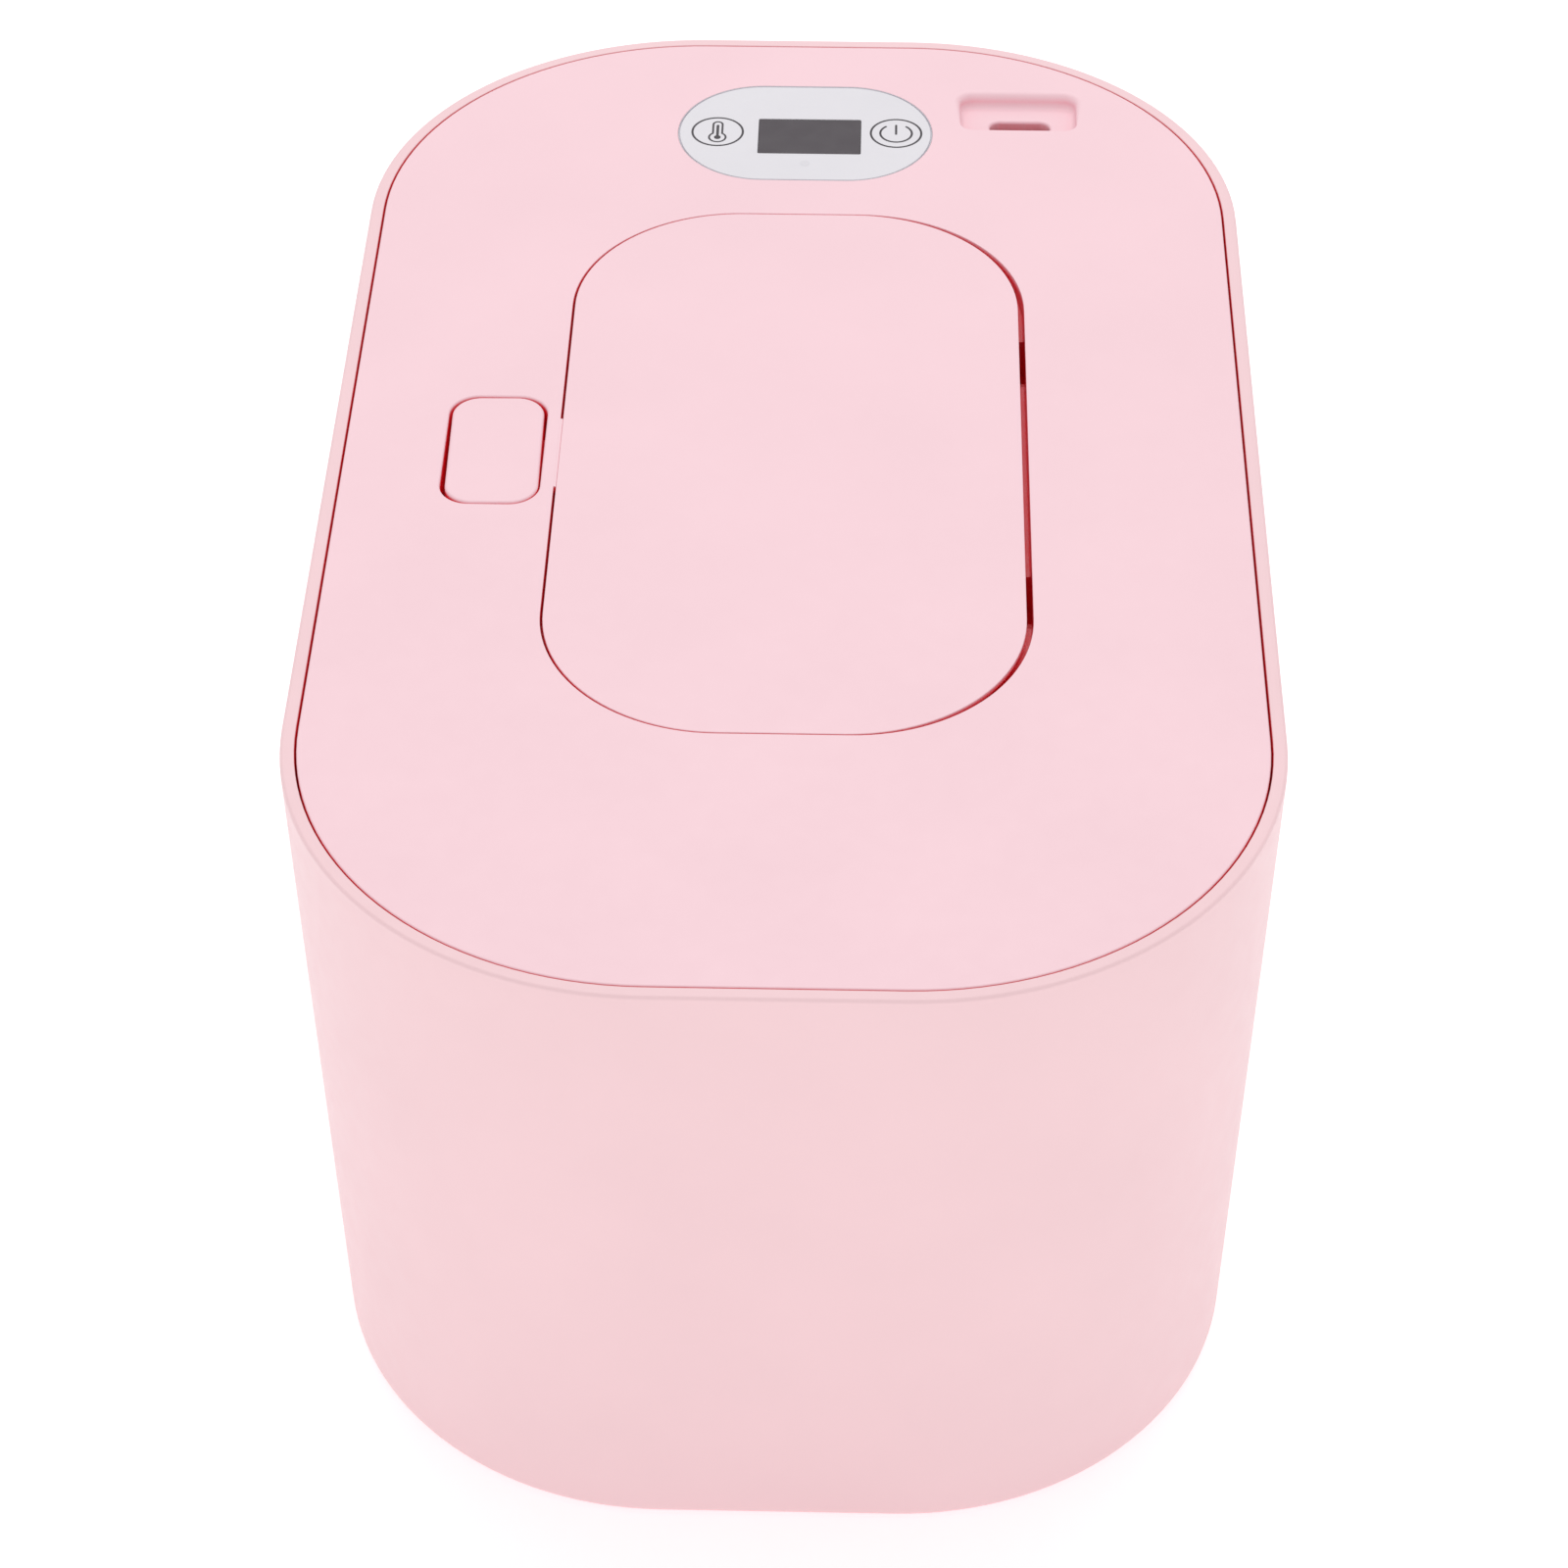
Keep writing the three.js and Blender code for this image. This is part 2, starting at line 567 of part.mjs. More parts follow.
// Torsion spring round the pin beside the narrow hub: one leg on the housing, one on the arm.
class TorsionSpring extends THREE.Curve {
  constructor(y0, pitch, turns, radius) {
    super();
    const y1 = y0 - pitch * turns;
    const steps = Math.round(turns * 12);
    const points = [[2.7, y0, 1.5], [1.2, y0, 1.5]];
    for (let i = 0; i <= steps; i += 1) {
      const angle = rad(90 + (360 * turns * i) / steps);
      points.push([radius * Math.cos(angle), y0 - (pitch * turns * i) / steps, radius * Math.sin(angle)]);
    }
    points.push([-1.3, y1, -1.5], [0.2, y1, -3.3], [1.8, y1 + 0.7, -4.4], [2.25, y1 + 3.2, -4.7]);
    this.curve = new THREE.CatmullRomCurve3(points.map(([x, y, z]) => (
      new THREE.Vector3(PIVOT.x + x, y, level(PIVOT.depth) + z))), false, 'centripetal');
  }

  getPoint(t, target) {
    return this.curve.getPoint(t, target);
  }
}

const lidSpring = () => wire(new TorsionSpring(26, 0.7, 2.25, 1.45), 0.25, 44, 5);

// ---------------------------------------------------------------- latch button

function latchButton() {
  const edge = 0.4;
  const right = BUTTON.cx + BUTTON.x;
  const left = BUTTON.cx - BUTTON.x;
  return turned(BUTTON, [[0, level(BUTTON_DEPTH)], [0, level(edge)], [edge, level(0)]], 5)
    .subtract(plate(BUTTON, SKIN, BUTTON_DEPTH + 1, BUTTON_WALL, 5))
    .add(block(right - 0.5, right + 1.85, -6, 6, 2.7, 3.5))
    .add(block(left - 0.9, left + 0.5, -3.5, 3.5, 5.3, 6.3));
}

// ---------------------------------------------------------------- put together

addPiece(tub, 'body_shell', PINK, bodyShell());
const FOOT_NAMES = ['foot_front_left', 'foot_front_right', 'foot_back_left', 'foot_back_right'];
footPlaces().forEach(([x, y], i) => addPiece(tub, FOOT_NAMES[i], RUBBER, foot(x, y)));

addPiece(cover, 'cover_panel', PINK, coverPanel());
addPiece(cover, 'cover_inner', SOFT_PINK, coverInner());
addPiece(cover, 'cover_seal', SILICONE, coverSeal());
addPiece(cover, 'outlet_ring', SILICONE, outletRing());
addPiece(cover, 'heater_plate', ALUMINIUM, heaterPlate());
addPiece(cover, 'heater_film', POLYIMIDE, heaterFilm());
addPiece(cover, 'insulation_pad', FOAM, insulationPad());
addPiece(cover, 'ntc_sensor', EPOXY, ntcSensor());
addPiece(cover, 'thermal_cutoff', BLACK, thermalCutoff());
addPiece(cover, 'display_overlay', GREY_PANEL, displayOverlay());
addPiece(cover, 'display_window', SMOKED, displayWindow());
addPiece(cover, 'led_display', BLACK, ledDisplay());
addPiece(cover, 'control_board', BOARD_GREEN, controlBoard());
addPiece(cover, 'control_chip', BLACK, controlChip());
addPiece(cover, 'touch_spring_left', STEEL, touchSpring(KEY_LEFT));
addPiece(cover, 'touch_spring_right', STEEL, touchSpring(KEY_RIGHT));
addPiece(cover, 'usb_socket', STEEL, usbSocket());
addPiece(cover, 'usb_board', BOARD_GREEN, usbBoard());
COVER_SCREWS.forEach(([x, y], i) => (
  addPiece(cover, `cover_screw_${i + 1}`, STEEL, panScrew(x, y, 16, 2.3, 0.95, 6.5))));
HEATER_SCREWS.forEach(([x, y], i) => (
  addPiece(cover, `heater_screw_${i + 1}`, STEEL, panScrew(x, y, 19.6, 2.3, 0.95, 12.5))));
BOARD_SCREWS.forEach(([x, y], i) => (
  addPiece(cover, `board_screw_${i + 1}`, STEEL, panScrew(x, y, 9.5, 1.9, 0.7, 4.8))));
for (const [name, curve] of Object.entries(leads())) {
  addPiece(cover, name, LEAD, wire(curve, 0.6, name === 'sensor_lead' ? 32 : 12, 5));
}
addPiece(cover, 'hinge_pin', STEEL, axleRod(PIN_RADIUS, -PIN_HALF_LENGTH, PIN_HALF_LENGTH));
addPiece(cover, 'lid_spring', STEEL, lidSpring());
addPiece(cover, 'latch_spring', STEEL, coilSpring(
  BUTTON.cx, BUTTON.cy, 2.9, 0.3, SKIN + GAP, INNER.top - GAP, 5));

addPiece(lid, 'flip_lid', PINK, flipLid());
addPiece(lid, 'flip_gasket', SILICONE, flipGasket());
addPiece(latch, 'latch_button', PINK, latchButton());

export default wipesWarmer;
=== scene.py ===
"""A heated wet-wipes box: its fine surfaces, materials, studio and camera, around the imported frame.

Lengths are in millimetres and heights are given as depths below the top, until solid() turns
them into metres. +Y points to the end with the control panel, +X to the flip lid's hinge.
"""

import json
from collections import namedtuple
from math import cos, hypot, pi, radians, sin, tan

import bmesh
import bpy
from mathutils import Matrix, Vector


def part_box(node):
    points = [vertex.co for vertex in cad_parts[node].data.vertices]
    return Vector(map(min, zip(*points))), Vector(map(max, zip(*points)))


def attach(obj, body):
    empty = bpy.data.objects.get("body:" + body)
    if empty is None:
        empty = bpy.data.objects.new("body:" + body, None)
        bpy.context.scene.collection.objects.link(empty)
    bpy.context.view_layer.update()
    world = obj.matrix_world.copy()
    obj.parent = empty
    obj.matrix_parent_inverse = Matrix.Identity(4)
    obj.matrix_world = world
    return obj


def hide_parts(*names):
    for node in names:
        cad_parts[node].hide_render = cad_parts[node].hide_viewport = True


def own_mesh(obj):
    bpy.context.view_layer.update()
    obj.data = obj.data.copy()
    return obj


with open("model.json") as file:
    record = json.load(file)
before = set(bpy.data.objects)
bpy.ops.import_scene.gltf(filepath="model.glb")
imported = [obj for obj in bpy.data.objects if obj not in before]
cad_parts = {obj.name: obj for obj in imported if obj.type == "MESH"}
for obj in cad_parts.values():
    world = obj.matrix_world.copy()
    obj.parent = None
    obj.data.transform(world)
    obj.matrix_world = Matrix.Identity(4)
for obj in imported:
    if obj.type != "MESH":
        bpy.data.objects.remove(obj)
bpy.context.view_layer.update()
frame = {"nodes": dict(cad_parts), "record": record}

# ---------------------------------------------------------------- sizes

MM = 0.001
FINE = 24  # facets in each quarter turn of a large outline
SMALL = 8  # and of a small one
HAIR = 0.002  # how far a cutter passes a surface, so that no two faces coincide

# A rounded rectangle from above: half sizes, corner radius and middle.
Oblong = namedtuple("Oblong", "x y radius cx cy", defaults=(0.0, 0.0))


def box_of(node):
    """The node's box in the frame: lowest corner, highest corner, middle."""
    low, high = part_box(node)
    return low / MM, high / MM, (low + high) / 2 / MM


def oblong_of(node, radius, grow=0.0):
    """The outline of a node whose box is that of its outline."""
    low, high, middle = box_of(node)
    return Oblong((high.x - low.x) / 2 + grow, (high.y - low.y) / 2 + grow, radius, middle.x, middle.y)


def grown(spec, by):
    """The outline that lies `by` outside another."""
    return Oblong(spec.x + by, spec.y + by, spec.radius + by, spec.cx, spec.cy)


GAP = 0.3
TOP = box_of("body_shell")[1].z

BODY = oblong_of("body_shell", 49)
BODY_DRAFT = 2.5
BODY_BASE = 0.8
BODY_FLOOR = 3.2
RIM = 1.9
TUB_EDGE, RIM_EDGE = 0.5, 0.18  # radii of the rim's outer and inner edge
LEDGE_DEPTH = 17
LEDGE_INSET = 3.2
FOOT_RADIUS = 5
FOOT_POCKET = 1.2

COVER = oblong_of("cover_panel", 46.8)
COVER = COVER._replace(y=COVER.y + 0.12)  # the gap to the rim is finer at the two ends
SKIN = 1.8
SKIRT_DEPTH = 13.4
COVER_EDGE = 0.25
INNER_TOP = SKIRT_DEPTH + GAP
INNER_BOTTOM = INNER_TOP + 1.6

WELL = Oblong(32.93, 59.72, 24.2, -0.17, -0.07)
WELL_DEPTH = 5
WELL_WALL = 1.6
WELL_UNDER = WELL_DEPTH + WELL_WALL
SILL_WIDTH, SILL_DEPTH = 2.4, 2.8  # a step round the well, just under the lid's edge
LID = Oblong(32.31, 59.55, 24, -0.44, -0.05)
LID_UNDERCUT = 0.6
LIP_Y = -0.25
LIP_HALF = 7.82
LIP_DEPTH = 1.2

PIVOT = box_of("hinge_pin")[2]
PIN_LENGTH = box_of("hinge_pin")[1].y
PIN_HOLE = 0.99
HUB_RADIUS = 1.8
ARM_INNER, ARM_OUTER = 6.3, 8.3
ARM_WIDTH, ARM_Y = 7, 27.3
ARM_START, ARM_END = 157.5, 275
SLOT_LEFT, SLOT_RIGHT, SLOT_HALF, SLOT_BOTTOM = 28.5, 40.4, 4, 12.6
SLOT_WALL = 1.2
SLOT_RUN = 3  # the cut beside each arm, towards the front, that shows dark through the gap

POCKET = Oblong(6.95, 12.4, 4.2, -41.95, 0.3)
BUTTON = Oblong(6.5, 12.15, 4, -41.85, 0.3)
BUTTON_DEPTH = 8.5
BUTTON_WALL = 1.2
CATCH_HALF = 6  # half width of the catch and of the button's tongue
CATCH_ROOM_HALF = 7.4
TONGUE_ROOM_HALF = 6.6
BUTTON_TWIST = radians(0.9)  # it sits a little askew in its pocket

OUTLET = Oblong(15, 36, 15)
OUTLET_SLOT = Oblong(6, 25, 6)
CHUTE = Oblong(15.5, 36.5, 15.5)
CHUTE_WALL = 1.4
CHUTE_TOP, CHUTE_BOTTOM = 8, 20.3

HEATER = oblong_of("heater_plate", 30)
PLATE_TOP, PLATE_BOTTOM = 18.3, 19.3

OVERLAY = oblong_of("display_overlay", 13.2)
OVERLAY_THICK = 0.9
WINDOW = oblong_of("display_window", 0.25, grow=0.1)
FILM_TOP = 0.03  # depth of the film's face; the printing stands slightly above it
KEY_LEFT = Vector((-13.6, 81.9))
KEY_RIGHT = Vector((13.9, 82.0))
PRINT_LINE = 0.33
PRINT_UPPER, PRINT_LOWER = 0.012, 0.05
KEY_RADIUS = 4.05

USB = box_of("usb_socket")[2]
USB_RECESS = Oblong(8.95, 5, 2, 32.8, 88.3)
USB_RECESS_DEPTH = 2.2
USB_SLOT = Oblong(4.9, 1.9, 1.9, USB.x, USB.y)

COVER_SCREWS = [box_of(f"cover_screw_{i + 1}")[2] for i in range(8)]
HEATER_SCREWS = [box_of(f"heater_screw_{i + 1}")[2] for i in range(4)]
BOARD_SCREWS = [box_of(f"board_screw_{i + 1}")[2] for i in range(2)]
FEET = ["foot_front_left", "foot_front_right", "foot_back_left", "foot_back_right"]
SENSOR = box_of("ntc_sensor")[2]
CUTOFF = box_of("thermal_cutoff")[2]
COVER_BOSS, BOARD_BOSS, BOARD_BOSS_END = 3, 2.2, 7.7

PINK = (0.925, 0.640, 0.695)
TUB_PINK = (0.897, 0.624, 0.655)
FLOOR_CLEARANCE = 12  # below this height the tub gets no painted gap shade, so that the floor doesn't count as the side of a gap
WORLD_LIGHT, FLOOR_GLOW = 0.72, 0.3
EYE = (0.01072, -0.47441, 0.46075)
YAW, PITCH, ROLL = 0.0257, 0.7249, -0.0021
LENS, SENSOR_WIDTH = 97.5, 36

# ---------------------------------------------------------------- solids


def outline(spec, inset=0.0, steps=FINE):
    """Points round a rounded rectangle, anticlockwise. Its straight sides may have no length."""
    r = spec.radius - inset
    points = []
    for quarter, (sx, sy) in enumerate(((1, 1), (-1, 1), (-1, -1), (1, -1))):
        for i in range(steps + 1):
            angle = pi / 2 * (quarter + i / steps)
            x = spec.cx + sx * (spec.x - spec.radius) + r * cos(angle)
            y = spec.cy + sy * (spec.y - spec.radius) + r * sin(angle)
            if not points or hypot(x - points[-1][0], y - points[-1][1]) > 1e-6:
                points.append((x, y))
    if hypot(points[0][0] - points[-1][0], points[0][1] - points[-1][1]) < 1e-6:
        points.pop()
    return points


def soften(profile, steps=5):
    """Rounds a profile's corners. Each point is (inset, depth) or (inset, depth, radius)."""
    result = []
    for i, point in enumerate(profile):
        here = Vector(point[:2])
        radius = point[2] if len(point) > 2 else 0
        if not radius:
            result.append(tuple(here))
            continue
        back = (Vector(profile[i - 1][:2]) - here).normalized()
        ahead = (Vector(profile[(i + 1) % len(profile)][:2]) - here).normalized()
        half = back.angle(ahead) / 2
        middle = here + (back + ahead).normalized() * radius / sin(half)
        first = here + back * radius / tan(half) - middle
        turn = (here + ahead * radius / tan(half) - middle).angle_signed(first)
        for k in range(steps + 1):
            result.append(tuple(middle + Matrix.Rotation(turn * k / steps, 2) @ first))
    return result


def solid(points, faces):
    """A closed mesh object from points in millimetres, with its faces pointing out."""
    mesh = bpy.data.meshes.new("solid")
    mesh.from_pydata([Vector(p) * MM for p in points], [], faces)
    work = bmesh.new()
    work.from_mesh(mesh)
    bmesh.ops.recalc_face_normals(work, faces=work.faces)
    if work.calc_volume(signed=True) < 0:
        bmesh.ops.reverse_faces(work, faces=work.faces)
    work.to_mesh(mesh)
    work.free()
    obj = bpy.data.objects.new("solid", mesh)
    bpy.context.scene.collection.objects.link(obj)
    return obj


def loft(rings, closed=False):
    """A solid through rings of equally many points. It ends in flat faces, or closes on itself."""
    count = len(rings[0])
    last = len(rings) - (0 if closed else 1)
    faces = []
    for k in range(last):
        a, b = k * count, (k + 1) % len(rings) * count
        for i in range(count):
            j = (i + 1) % count
            faces.append((a + i, a + j, b + j, b + i))
    if not closed:
        faces.append(tuple(reversed(range(count))))
        faces.append(tuple(range(last * count, (last + 1) * count)))
    return solid([p for ring in rings for p in ring], faces)


def turned(spec, profile, steps=FINE, closed=False, arc=5):
    """A solid with the same rounded outline at every depth, inset as the profile says."""
    rings = []
    for inset, depth in soften(profile, arc):
        rings.append([(x, y, TOP - depth) for x, y in outline(spec, inset, steps)])
    return loft(rings, closed)


def plate(spec, upper, lower, inset=0.0, steps=FINE):
    return turned(spec, [(inset, lower), (inset, upper)], steps)


def wall(spec, outer, inner, upper, lower, steps=FINE):
    """The wall between two insets of one outline."""
    return turned(spec, [(outer, lower), (outer, upper), (inner, upper), (inner, lower)], steps, True)


def pocket(spec, depth, edge, top=0.0, steps=FINE, arc=5):
    """A cutter for a hollow whose upper edge is rounded."""
    brim, mouth = -edge - 0.5, top - HAIR
    return turned(spec, [
        (0, depth + 0.001), (0, depth), (0, mouth, edge), (brim, mouth), (brim, top - 0.6),
    ], steps, arc=arc)


def circle(radius, place):
    return Oblong(radius, radius, radius, place[0], place[1])


def post(place, radius, upper, lower, steps=SMALL):
    return plate(circle(radius, place), upper, lower, 0, steps)


def block(x0, x1, y0, y1, upper, lower, edge=0.0):
    """A box between two depths, with all its edges rounded if edge is given."""
    points = [(x, y, TOP - d) for d in (upper, lower) for y in (y0, y1) for x in (x0, x1)]
    faces = [(0, 1, 3, 2), (4, 6, 7, 5), (0, 4, 5, 1), (2, 3, 7, 6), (0, 2, 6, 4), (1, 5, 7, 3)]
    obj = solid(points, faces)
    if edge:
        bevel = obj.modifiers.new("edge", "BEVEL")
        bevel.width = edge * MM
        bevel.segments = 3
        bevel.limit_method = "NONE"
        settle(obj)
    return obj


def barrel(sections, steps=SMALL):
    """A round solid on the hinge axis, through sections given as (y, radius)."""
    sides = 4 * steps
    angles = [2 * pi * i / sides for i in range(sides)]
    return loft([
        [(PIVOT.x + r * cos(a), y, PIVOT.z + r * sin(a)) for a in angles] for y, r in sections
    ])


def rod(radius, y0, y1, steps=SMALL):
    return barrel([(y0, radius), (y1, radius)], steps)


def across_hinge(points, y, width, edge=0.0):
    """A flat shape, drawn across the hinge axis, with a thickness along it."""
    rings = []
    for step in (-width / 2, width / 2):
        rings.append([(PIVOT.x + px, y + step, PIVOT.z + pz) for px, pz in points])
    obj = loft(rings)
    if edge:
        bevel = obj.modifiers.new("edge", "BEVEL")
        bevel.width = edge * MM
        bevel.segments = 2
        bevel.limit_method = "ANGLE"
        bevel.angle_limit = radians(50)
        settle(obj)
    return obj


def tube(points, radius, sides=10):
    """A round wire along points, with flat ends."""
    rings = []
    side = Vector((0, 0, 1))
    for i, point in enumerate(points):
        ahead = Vector(points[min(i + 1, len(points) - 1)]) - Vector(points[max(i - 1, 0)])
        ahead.normalize()
        side = (side - ahead * side.dot(ahead)).normalized()
        other = ahead.cross(side)
        ring = []
        for k in range(sides):
            angle = 2 * pi * k / sides
            ring.append(tuple(Vector(point) + (side * cos(angle) + other * sin(angle)) * radius))
        rings.append(ring)
    return loft(rings)


def settle(obj):
    """Makes the result of an object's modifiers its mesh."""
    bpy.context.view_layer.update()
    ready = obj.evaluated_get(bpy.context.evaluated_depsgraph_get())
    mesh = bpy.data.meshes.new_from_object(ready)
    obj.modifiers.clear()
    obj.data = mesh


def combine(base, add=(), cut=()):
    """Joins base with the solids in add, then cuts it by those in cut. Both lists are used up."""
    for operation, others in (("UNION", add), ("DIFFERENCE", cut)):
        for other in others:
            step = base.modifiers.new(operation, "BOOLEAN")
            step.solver = "MANIFOLD"
            step.operation = operation
            step.object = other
    settle(base)
    for other in [*add, *cut]:
        bpy.data.objects.remove(other)
    return base


# ---------------------------------------------------------------- materials


def new_material(name, color, roughness, metallic=0.0, sockets=None):
    material = bpy.data.materials.new(name)
    material.use_nodes = True
    material.diffuse_color = (*color, 1)
    shader = material.node_tree.nodes["Principled BSDF"]
    values = {"Base Color": (*color, 1), "Roughness": roughness, "Metallic": metallic}
    for socket, value in {**values, **(sockets or {})}.items():
        shader.inputs[socket].default_value = value
    return material


def noise(material, size, detail=2.0, stretch=None):
    """A noise value with features of the given size in millimetres."""
    nodes, links = material.node_tree.nodes, material.node_tree.links
    place = nodes.new("ShaderNodeTexCoord").outputs["Object"]
    if stretch:
        mapping = nodes.new("ShaderNodeMapping")
        mapping.inputs["Scale"].default_value = stretch
        links.new(place, mapping.inputs["Vector"])
        place = mapping.outputs["Vector"]
    texture = nodes.new("ShaderNodeTexNoise")
    texture.inputs["Scale"].default_value = 1 / (size * MM)
    texture.inputs["Detail"].default_value = detail
    links.new(place, texture.inputs["Vector"])
    return texture.outputs["Fac"]


def ramp(material, value, stops):
    """Turns a value into a colour. Stops are (position, colour)."""
    node = material.node_tree.nodes.new("ShaderNodeValToRGB")
    elements = node.color_ramp.elements
    while len(elements) < len(stops):
        elements.new(0.5)
    for element, (position, color) in zip(elements, stops):
        element.position = position
        element.color = (*color, 1)
    material.node_tree.links.new(value, node.inputs["Fac"])
    return node.outputs["Color"]


def shade(color, factor):
    return tuple(min(1.0, c * factor) for c in color)


def tint(material, color, size, amount, detail=3.0, stretch=None):
    """The base colour wanders a little, over spots of the given size."""
    value = noise(material, size, detail, stretch)
    stops = [(0.3, shade(color, 1 - amount)), (0.7, shade(color, 1 + amount))]
    shader = material.node_tree.nodes["Principled BSDF"]
    material.node_tree.links.new(ramp(material, value, stops), shader.inputs["Base Color"])


def vary_roughness(material, low, high, size, stretch=None):
    nodes, links = material.node_tree.nodes, material.node_tree.links
    span = nodes.new("ShaderNodeMapRange")
    span.inputs["From Min"].default_value = 0.3
    span.inputs["From Max"].default_value = 0.7
    span.inputs["To Min"].default_value = low
    span.inputs["To Max"].default_value = high
    links.new(noise(material, size, 3.0, stretch), span.inputs["Value"])
    links.new(span.outputs["Result"], nodes["Principled BSDF"].inputs["Roughness"])


def grain(material, layers):
    """Bumps from one or more noises. Each layer is (size, height, stretch), in millimetres."""
    nodes, links = material.node_tree.nodes, material.node_tree.links
    normal = None
    for size, height, stretch in layers:
        bump = nodes.new("ShaderNodeBump")
        bump.inputs["Strength"].default_value = 1.0
        bump.inputs["Distance"].default_value = height * MM
        links.new(noise(material, size, 2.0, stretch), bump.inputs["Height"])
        if normal:
            links.new(normal, bump.inputs["Normal"])
        normal = bump.outputs["Normal"]
    links.new(normal, nodes["Principled BSDF"].inputs["Normal"])


def moulded(name, color, roughness, sockets=None, fine=(0.35, 0.004), wavy=(18, 0.02), amount=0.012):
    """Moulded plastic or rubber: fine spark-eroded grain over very slight waviness."""
    material = new_material(name, color, roughness, 0.0, sockets)
    tint(material, color, 22, amount)
    vary_roughness(material, roughness - 0.05, roughness + 0.05, 3.0)
    grain(material, [(*wavy, None), (*fine, None)])
    return material


def paint_gap_shade(material, reach=12.0, clear_below=None):
    """Paints shade into the colour in hollows and gaps: darker and redder where the ambient occlusion is
    low, standing in for light that has been through the plastic.

    clear_below is a height in millimetres under which no painted shade is added, so that the floor that
    the object stands on doesn't count as the side of a gap. The change is gradual, up to twice that
    height.
    """
    nodes, links = material.node_tree.nodes, material.node_tree.links
    base = nodes["Principled BSDF"].inputs["Base Color"]
    open_color = base.links[0].from_socket
    occlusion = nodes.new("ShaderNodeAmbientOcclusion")
    occlusion.samples = 8
    occlusion.inputs["Distance"].default_value = reach * MM
    openness = occlusion.outputs["AO"]
    if clear_below:
        split = nodes.new("ShaderNodeSeparateXYZ")
        links.new(nodes.new("ShaderNodeTexCoord").outputs["Object"], split.inputs["Vector"])
        low = nodes.new("ShaderNodeMapRange")
        low.inputs["From Min"].default_value = clear_below * MM
        low.inputs["From Max"].default_value = 2 * clear_below * MM
        low.inputs["To Min"].default_value = 1.0
        low.inputs["To Max"].default_value = 0.0
        links.new(split.outputs["Z"], low.inputs["Value"])
        larger = nodes.new("ShaderNodeMath")
        larger.operation = "MAXIMUM"
        links.new(openness, larger.inputs[0])
        links.new(low.outputs["Result"], larger.inputs[1])
        openness = larger.outputs["Value"]
    # Painted shade: what is left of each colour, nearly all red in a deep gap and untouched in the open.
    left = ramp(material, openness, [
        (0.14, (1.0, 0.04, 0.075)), (0.28, (1.0, 0.66, 0.69)),
        (0.5, (1.0, 0.93, 0.94)), (0.8, (1.0, 1.0, 1.0)),
    ])
    mix = nodes.new("ShaderNodeMix")
    mix.data_type = "RGBA"
    mix.blend_type = "MULTIPLY"
    mix.inputs["Factor"].default_value = 1.0
    a, b = [socket for socket in mix.inputs if socket.type == "RGBA"]
    links.new(open_color, a)
    links.new(left, b)
    result = [socket for socket in mix.outputs if socket.type == "RGBA"][0]
    links.new(result, base)
    # Painted glow: a very faint emission in the deepest gaps stands in for light that comes through the
    # wall.
    painted_glow = ramp(material, openness, [(0.02, (0.008, 0.0002, 0.0004)), (0.25, (0.0, 0.0, 0.0))])
    links.new(painted_glow, nodes["Principled BSDF"].inputs["Emission Color"])
    nodes["Principled BSDF"].inputs["Emission Strength"].default_value = 1.0
    return material


def brushed(name, color, roughness, stretch):
    """Metal with fine lines along one direction."""
    material = new_material(name, color, roughness, 1.0)
    tint(material, color, 1.2, 0.08, 4.0, stretch)
    vary_roughness(material, roughness - 0.1, roughness + 0.1, 0.8, stretch)
    grain(material, [(0.25, 0.003, stretch)])
    return material


def make_materials():
    satin = {"Specular IOR Level": 0.42}
    return {
        # Both pinks get painted shade, darker and redder, in their gaps and hollows, and a faint painted
        # glow in the deepest.
        "pink_plastic": paint_gap_shade(moulded("satin_pink", PINK, 0.42, satin)),
        "tub_pink": paint_gap_shade(
            moulded("satin_pink_tub", TUB_PINK, 0.42, satin), clear_below=FLOOR_CLEARANCE),
        "inner_plastic": moulded("matt_pink", (0.90, 0.735, 0.755), 0.6, fine=(0.5, 0.008)),
        "silicone": moulded("silicone", (0.86, 0.80, 0.77), 0.55, {
            "Subsurface Weight": 0.25,
            "Subsurface Radius": (0.002, 0.0018, 0.0015),
        }, fine=(0.6, 0.006), amount=0.02),
        "foot_rubber": moulded("foot_rubber", (0.10, 0.09, 0.09), 0.8, fine=(0.5, 0.02), amount=0.15),
        "overlay_grey": moulded(
            "film_grey", (0.755, 0.735, 0.775), 0.34, fine=(0.3, 0.002), wavy=(9, 0.006)),
        "smoked_window": moulded(
            "smoked_lens", (0.062, 0.050, 0.060), 0.22, fine=(0.2, 0.0008), wavy=(7, 0.003)),
        "aluminium_sheet": brushed("brushed_aluminium", (0.72, 0.73, 0.75), 0.38, (1, 0.04, 1)),
        "plated_steel": brushed("plated_steel", (0.66, 0.65, 0.63), 0.28, (1, 1, 0.2)),
        "heater_foil": moulded("polyimide", (0.55, 0.20, 0.03), 0.3, fine=(0.4, 0.004), amount=0.08),
        "foam": moulded("foam", (0.88, 0.86, 0.82), 0.95, fine=(0.7, 0.12), amount=0.05),
        "circuit_board": moulded("solder_mask", (0.03, 0.14, 0.06), 0.35, fine=(0.6, 0.006), amount=0.12),
        "black_plastic": moulded("black_plastic", (0.02, 0.02, 0.022), 0.4, fine=(0.4, 0.006), amount=0.2),
        "lead_wire": moulded("wire_sleeve", (0.38, 0.04, 0.03), 0.45, fine=(0.4, 0.006), amount=0.08),
        "ink": moulded("printed_ink", (0.036, 0.029, 0.038), 0.5, fine=(0.25, 0.002), amount=0.05),
        "faint_ink": moulded("faint_ink", (0.715, 0.695, 0.735), 0.4, fine=(0.25, 0.002), amount=0.02),
    }


MATERIALS = make_materials()
SLOT_OF = {part["node"]: part["material_slot"] for part in frame["record"]["subparts"]}


